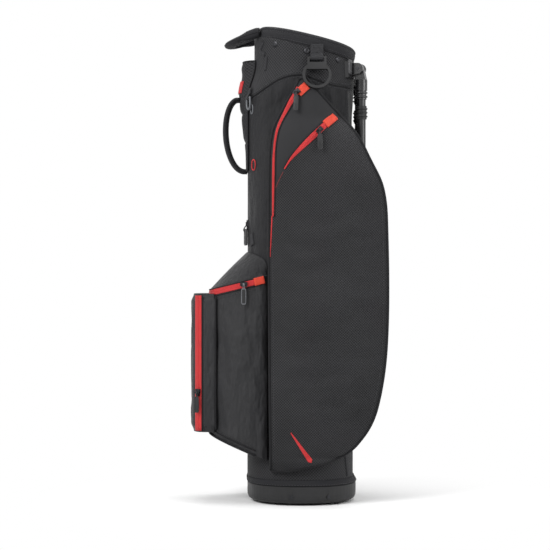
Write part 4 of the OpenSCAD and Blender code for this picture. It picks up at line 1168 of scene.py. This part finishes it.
def zips():
    upper = [upper_zip_at(s) for s in steps(48)]
    zip_band("upper_zip", upper, NEAR_FACE, widths([11, 9.5, 5.5, 4, 4.5, 3], 49), welt=1)
    lower = [lower_zip_at(s) for s in steps(36)]
    lower_w = widths([10, 11, 10, 6.5, 1.5], 37)
    zip_band("lower_zip", lower, NEAR_FACE, lower_w, welt=-1)
    zip_band("far_zip", lower, side_face(FAR), lower_w, welt=-1)
    ball = []
    for s in between(-1, 1, 120):
        a = s * (BALL_ARC - 6)
        ball.append((a, ball_top(a) - BALL_HEM - TAPE_W / 2 - 0.8))
    zip_band("ball_zip", ball, BALL_FACE, 10.5, sunk=0.5)
    front = [(FRONT_ZIP_X, z) for z in between(FRONT_LOW + 3, FRONT_HIGH - 3, 40)]
    zip_band("front_zip", front, FRONT_FACE, 11.5, welt=-1)


def face_frame(at, out):
    """Function that places level, up and outward coordinates on a face, as in the part's source."""
    out = Vector(out).normalized()
    level = Vector((-out.y, out.x, 0)).normalized()
    up = out.cross(level)
    return lambda a, b, c: Vector(at) + level * a + up * b + out * c


def side_normal(x, z, side):
    across = (side_outer_y(x + 2, z) - side_outer_y(x - 2, z)) / 4
    up = (side_outer_y(x, z) - side_outer_y(x, z - PULL_L)) / PULL_L
    return -across, side, -up


def zip_puller(name, place, finish="pull_rubber"):
    """Pull with a hinge eye, two neck bars and a plate with a raised rim and grip ribs."""
    eye_half, eye_in, eye_out, neck_x = 1.8, 1.3, 1.9, 1.15
    middle, half = -(PULL_L + PULL_NECK) / 2, (PULL_L - PULL_NECK) / 2
    ring = ((-eye_half, eye_in), (-eye_half, eye_out), (eye_half, eye_out), (eye_half, eye_in))
    barrel = [
        [place(a, r * cos(t), PULL_Z + r * sin(t)) for a, r in ring] for t in turns(20)
    ]
    patches = [patch(barrel, loop=True)]
    for s in (-1, 1):
        patches.append(block(place, (s * neck_x, -4.8, PULL_Z), (0.6, 3.4, 0.8)))
    patches.append(block(place, (0, middle, PULL_Z), (PULL_W / 2 - 0.6, half, 0.7)))
    rim = [place(a, middle + b, PULL_Z + 0.35) for a, b in ovals(48, PULL_W / 2 - 0.5, half - 0.4, 5)]
    patches.append(patch(tube_rows(rim, 0.55, closed=True, count=8), loop=True))
    for b in between(4 - PULL_L, middle - 1, 5):
        rib = [place(a, b, PULL_Z + 0.6) for a in (-2.6, -2.4, 0, 2.4, 2.6)]
        patches.append(patch(tube_rows(rib, 0.4, count=6)))
    build(name + "_puller", patches, finish, node=name + "_zip_pull", body=name + "_pull")


def zip_pullers():
    seat = TAPE_GAP + TAPE_T
    lower = lower_zip_at(3 / 12)
    for name, (x, z), side in (
        ("upper", upper_zip_at(2 / 16), NEAR), ("lower", lower, NEAR), ("far", lower, FAR),
    ):
        at = (x, side * (side_outer_y(x, z) + seat), z)
        zip_puller(name, face_frame(at, side_normal(x, z, side)))
    x = BALL_SLIDER_X
    grow = ball_swell(BALL_ZIP_V)
    y = oval_side(x + BALL_FRONT, BALL_HALF_Y + grow, BALL_DEEP + grow, BALL_POWER)
    place = face_frame((x, -y - seat, ball_span(x)[1] - BALL_HEM - TAPE_W / 2), (0, -1, 0))
    zip_puller("ball", place, "grey_plastic")
    middle = -(PULL_L + PULL_NECK) / 2
    inlay = block(place, (0, middle, PULL_Z + 0.65), (PULL_W / 2 - 1.3, PULL_L / 2 - 5.4, 0.4))
    build("ball_puller_inlay", [inlay], "pull_rubber", body="ball_pull")
    x = FRONT_ZIP_X
    slope = (front_outer_y(x - TAPE_W / 2) - front_outer_y(x + TAPE_W / 2)) / TAPE_W
    at = (x, -front_outer_y(x) - seat, FRONT_SLIDER_Z)
    zip_puller("front", face_frame(at, (slope, -1, 0)))


# Straps and small sewn pieces

def webbing_loop(name, place, radius, half_w, tail, node):
    """Webbing folded round a bar, with both plies sewn down. place takes out, along and up."""
    mean = radius - WEB_T / 2
    path = [(-mean, tail), (-mean, tail * 0.6), (-mean, tail * 0.25)]
    path += [(mean * cos(t), mean * sin(t)) for t in between(pi, 2 * pi, 14)]
    path += [(mean * 0.75, radius * 0.7), (mean * 0.1, radius * 1.5), (-mean + WEB_T, radius * 2.1)]
    path += [(-mean + WEB_T, tail * 0.8)]
    section = [(-half_w, 0.5), (-half_w + 0.5, 1), (half_w - 0.5, 1), (half_w, 0.5)]
    section += [(along, -k) for along, k in reversed(section)]
    rows = []
    for i, (out, up) in enumerate(path):
        ahead = heading(path, i) * (WEB_T / 2)
        rows.append([place(out - k * ahead.y, along, up + k * ahead.x) for along, k in section])
    grid(name, rows, "webbing", node=node)
    front = -mean + 1.6 * WEB_T
    for k, up in enumerate((radius * 2.3, tail * 0.76)):
        line = [place(front, along, up) for along in between(-half_w + 2, half_w - 2, 8)]
        sew(f"{name}_stitches_{k}", line, pitch=2.4, length=1.7)


def strap_loops():
    towel_z = rim_z(TOWEL_X) - TOWEL_DROP
    towel_y = -body_y(TOWEL_X - TOWEL_SLOT_W / 2, towel_z - TOWEL_LOOP_R, SEAT_GAP) - TOWEL_LOOP_R
    webbing_loop(
        "towel_loop", lambda out, along, up: (TOWEL_X + along, towel_y - out, towel_z + up),
        TOWEL_LOOP_R, TOWEL_SLOT_W / 2 - 1.5, 26, "towel_strap",
    )
    for name, y, z in (
        ("upper", UPPER_STRAP_Y, UPPER_STRAP_Z), ("lower", LOWER_STRAP_Y, LOWER_STRAP_Z),
    ):
        yaw = pi - atan((body_x(SPINE, y + 1, z) - body_x(SPINE, y - 1, z)) / 2)
        away = Vector((cos(yaw), sin(yaw), 0))
        side = Vector((-away.y, away.x, 0))
        base = Vector((body_x(SPINE, y, z, SEAT_GAP), y, z)) + away * STRAP_LOOP_R

        def place(out, along, up):
            return base + away * out + side * along + Vector((0, 0, up))

        webbing_loop(name + "_strap_loop", place, STRAP_LOOP_R, STRAP_W / 2 - 3, 18, name + "_strap_tab")
    strap_buckle(place)


def strap_buckle(place):
    """Moulded three-bar buckle that hangs on the lower strap tab as its ring."""
    half = STRAP_W / 2
    bars = [block(place, (0, 0, 0), (1.9, half + 1.6, 1.9), 2)]
    for drop in (-10, -18, -27):
        bars.append(block(place, (-0.5, 0, drop), (2, half + 1.4, 1.8), 3))
    for s in (-1, 1):
        middle = (-0.5, -13.5, s * (half + 0.6))
        bars.append(block(lambda a, b, c: place(a, c, b), middle, (2.6, 15, 1.7), 4))
    build("lower_strap_buckle", bars, "bracket_grey", "lower_strap_ring", "lower_ring")


def sewn_details():
    line_top, line_low, line_inset = 519, 446, 5.5
    seam = [(-34.5, 597), (-46, 573), (-53, 552), (side_span(line_top)[0] + line_inset, line_top)]
    ribbon("yoke_seam_line", spread(seam, 24), NEAR_FACE, 1.3, 0.6, "yoke_seam")
    line = []
    for s in steps(30):
        z = mix(line_top, line_low, s)
        line.append((side_span(z)[0] + mix(line_inset, 2.5, s), z))
    ribbon("pocket_red_line", line, NEAR_FACE, widths([2, 1.8, 0.8], 31), 0.7, "red_tape")
    for name, x, z, half_a, half_b, finish in (
        ("red_eyelet", -88, 614, 7.5, 9.5, "red_tape"),
        ("grey_eyelet", -91, 716, 5, 8.5, "grey_plastic"),
    ):
        ring = [(near_arc(x, z) + a, z + b) for a, b in ovals(36, half_a, half_b)]
        cord(name, ROUND_FACE.line(ring, 0.4), 1.1, True, finish)
    for name, route in (
        ("upper_zip_patch", [(-8, 737), (0, 745), (8, 752)]),
        ("lower_zip_patch", [(40, 681), (49, 689), (58, 697)]),
    ):
        ribbon(name, spread(route, 10), NEAR_FACE, 15, 1.2, "bright_patch", 1.6)
    accent = spread([(-21, 134), (-8, 115), (5, 96), (16, 80)], 40)
    thick = [mix(1.5, 9, s) * (1 - smooth((s - 0.93) / 0.08)) + 0.3 for s in steps(39)]
    ribbon("pocket_accent", accent, NEAR_FACE, thick, 0.8, "red_tape")
    for name, points, count, width, high in (
        ("cuff_strap", [(-70, 836), (-76, 822), (-67, 813)], 16, 8, 1.4),
        ("cuff_strap_tail", [(-64, 809), (-65, 798), (-67, 784)], 16, 7, 1.4),
        ("lower_strap_web", [(-92, 489), (-91, 478), (-90, 468)], 12, 15, 1.6),
        ("skirt_strap", [(80, 98), (81, 80), (83, 62), (84, 50)], 20, 14, 1.6),
    ):
        route = spread([(near_arc(x, z), z) for x, z in points], count)
        ribbon(name, route, ROUND_FACE, width, high, "webbing")
    spot = [(a, ball_top(a) - 6) for a in between(-BALL_ARC + 5, -BALL_ARC + 24, 8)]
    ribbon("ball_zip_patch", spot, BALL_FACE, 14, 1.2, "bright_patch", 1.6)


def bracket_plate():
    """Moulded face plate with two rivets on the leg bracket's near edge."""
    def place(a, b, c):
        y = -60.5 + a
        return body_x(LEGS, y, PIVOT_Z, SEAT_GAP + BRACKET_T) + c, y, PIVOT_Z + 2 + b

    plate = [block(place, (0, 0, 0.6), (5, 13, 1.4))]
    for b in (-8, 8):
        plate.append(patch([
            [place(r * cos(t), b + r * sin(t), c) for t in turns(16)]
            for r, c in ((2.2, 1.6), (2.0, 2.4), (1.2, 2.9), (0.2, 3.0))
        ]))
    build("bracket_plate", plate, "bracket_grey")


# Floor, light and camera

def white_where_seen(nodes):
    """Factor that is 1 for what the camera sees straight, in a shine or through a clear piece."""
    path = nodes.node("LightPath").outputs
    seen = nodes.math("MAXIMUM", path["Is Camera Ray"], path["Is Glossy Ray"])
    return nodes.math("MAXIMUM", seen, path["Is Transmission Ray"])


def floor_plane():
    """Pale floor that keeps the shadow near the bag and turns to the white background further out."""
    reach, fade_from, fade_to = 12, 0.16, 0.5
    mesh = bpy.data.meshes.new("floor")
    corners = [(x * reach, y * reach, 0) for x, y in ((-1, -1), (1, -1), (1, 1), (-1, 1))]
    mesh.from_pydata(corners, [], [(0, 1, 2, 3)])
    f = Finish("floor_white", (0.92, 0.92, 0.92), 0.85, specular=0.1)
    far = f.node("VectorMath", f.node("NewGeometry").outputs["Position"], operation="LENGTH")
    fade = f.node("MapRange", far.outputs["Value"], fade_from, fade_to, interpolation_type="SMOOTHSTEP")
    share = f.math("MULTIPLY", fade.outputs[0], white_where_seen(f))
    blend = f.node("MixShader", share, f.shader.outputs[0], f.node("Emission").outputs[0])
    f.put(f.tree.nodes["Material Output"].inputs["Surface"], blend.outputs[0])
    new_object("floor", mesh, f.material)


def studio():
    scene = bpy.context.scene
    scene.view_settings.view_transform = "Standard"
    floor_plane()
    world = bpy.data.worlds.new("studio")
    scene.world = world
    world.use_nodes = True
    nodes = Nodes(world.node_tree)
    # Strength of the world as a light, and as the white that is seen
    level = nodes.node("MapRange", white_where_seen(nodes), 0.0, 1.0, 0.3, 1.0)
    sky = nodes.tree.nodes["Background"]
    nodes.put(sky.inputs["Strength"], level.outputs[0])
    sky.inputs["Color"].default_value = (1, 1, 1, 1)
    aim = Vector((0, 0, 0.4))
    for name, place, size, power in (
        ("key", (-1.9, -1.9, 2.2), 1.5, 95),
        ("fill", (2.2, -1.4, 1.5), 1.6, 45),
        ("top", (0.2, 0.4, 2.6), 1.8, 40),
    ):
        data = bpy.data.lights.new(name, "AREA")
        data.size = size
        data.energy = power
        lamp = bpy.data.objects.new(name, data)
        scene.collection.objects.link(lamp)
        lamp.location = place
        lamp.rotation_euler = (aim - Vector(place)).to_track_quat("-Z", "Y").to_euler()
    # The photograph's frame is 1017.5 mm wide at the bag's middle, seen from 3.2 m
    sensor, distance, frame_width = 36, 3.2, 1.0175
    data = bpy.data.cameras.new("camera")
    camera = bpy.data.objects.new("camera", data)
    scene.collection.objects.link(camera)
    camera.location = (-0.049, -distance, 0.414)
    camera.rotation_euler = (pi / 2, 0, 0)
    data.sensor_width = sensor
    data.lens = sensor * distance / frame_width
    scene.camera = camera


def finish_nodes():
    """Gives every node that still shows its slot's material."""
    for part in frame["record"]["subparts"]:
        obj = frame["nodes"][part["node"]]
        obj.data.materials.clear()
        obj.data.materials.append(MATERIALS[part["material_slot"]])


studio()
finish_nodes()
body_cover()
base_trim()
collar_cushion()
dividers()
lift_handle()
spine_pad()
carry_handle()
side_pocket(NEAR, "near_pocket", "side_pocket_near")
side_pocket(FAR, "far_pocket", "side_pocket_far")
ball_pocket()
front_pocket()
zips()
zip_pullers()
strap_loops()
sewn_details()
bracket_plate()
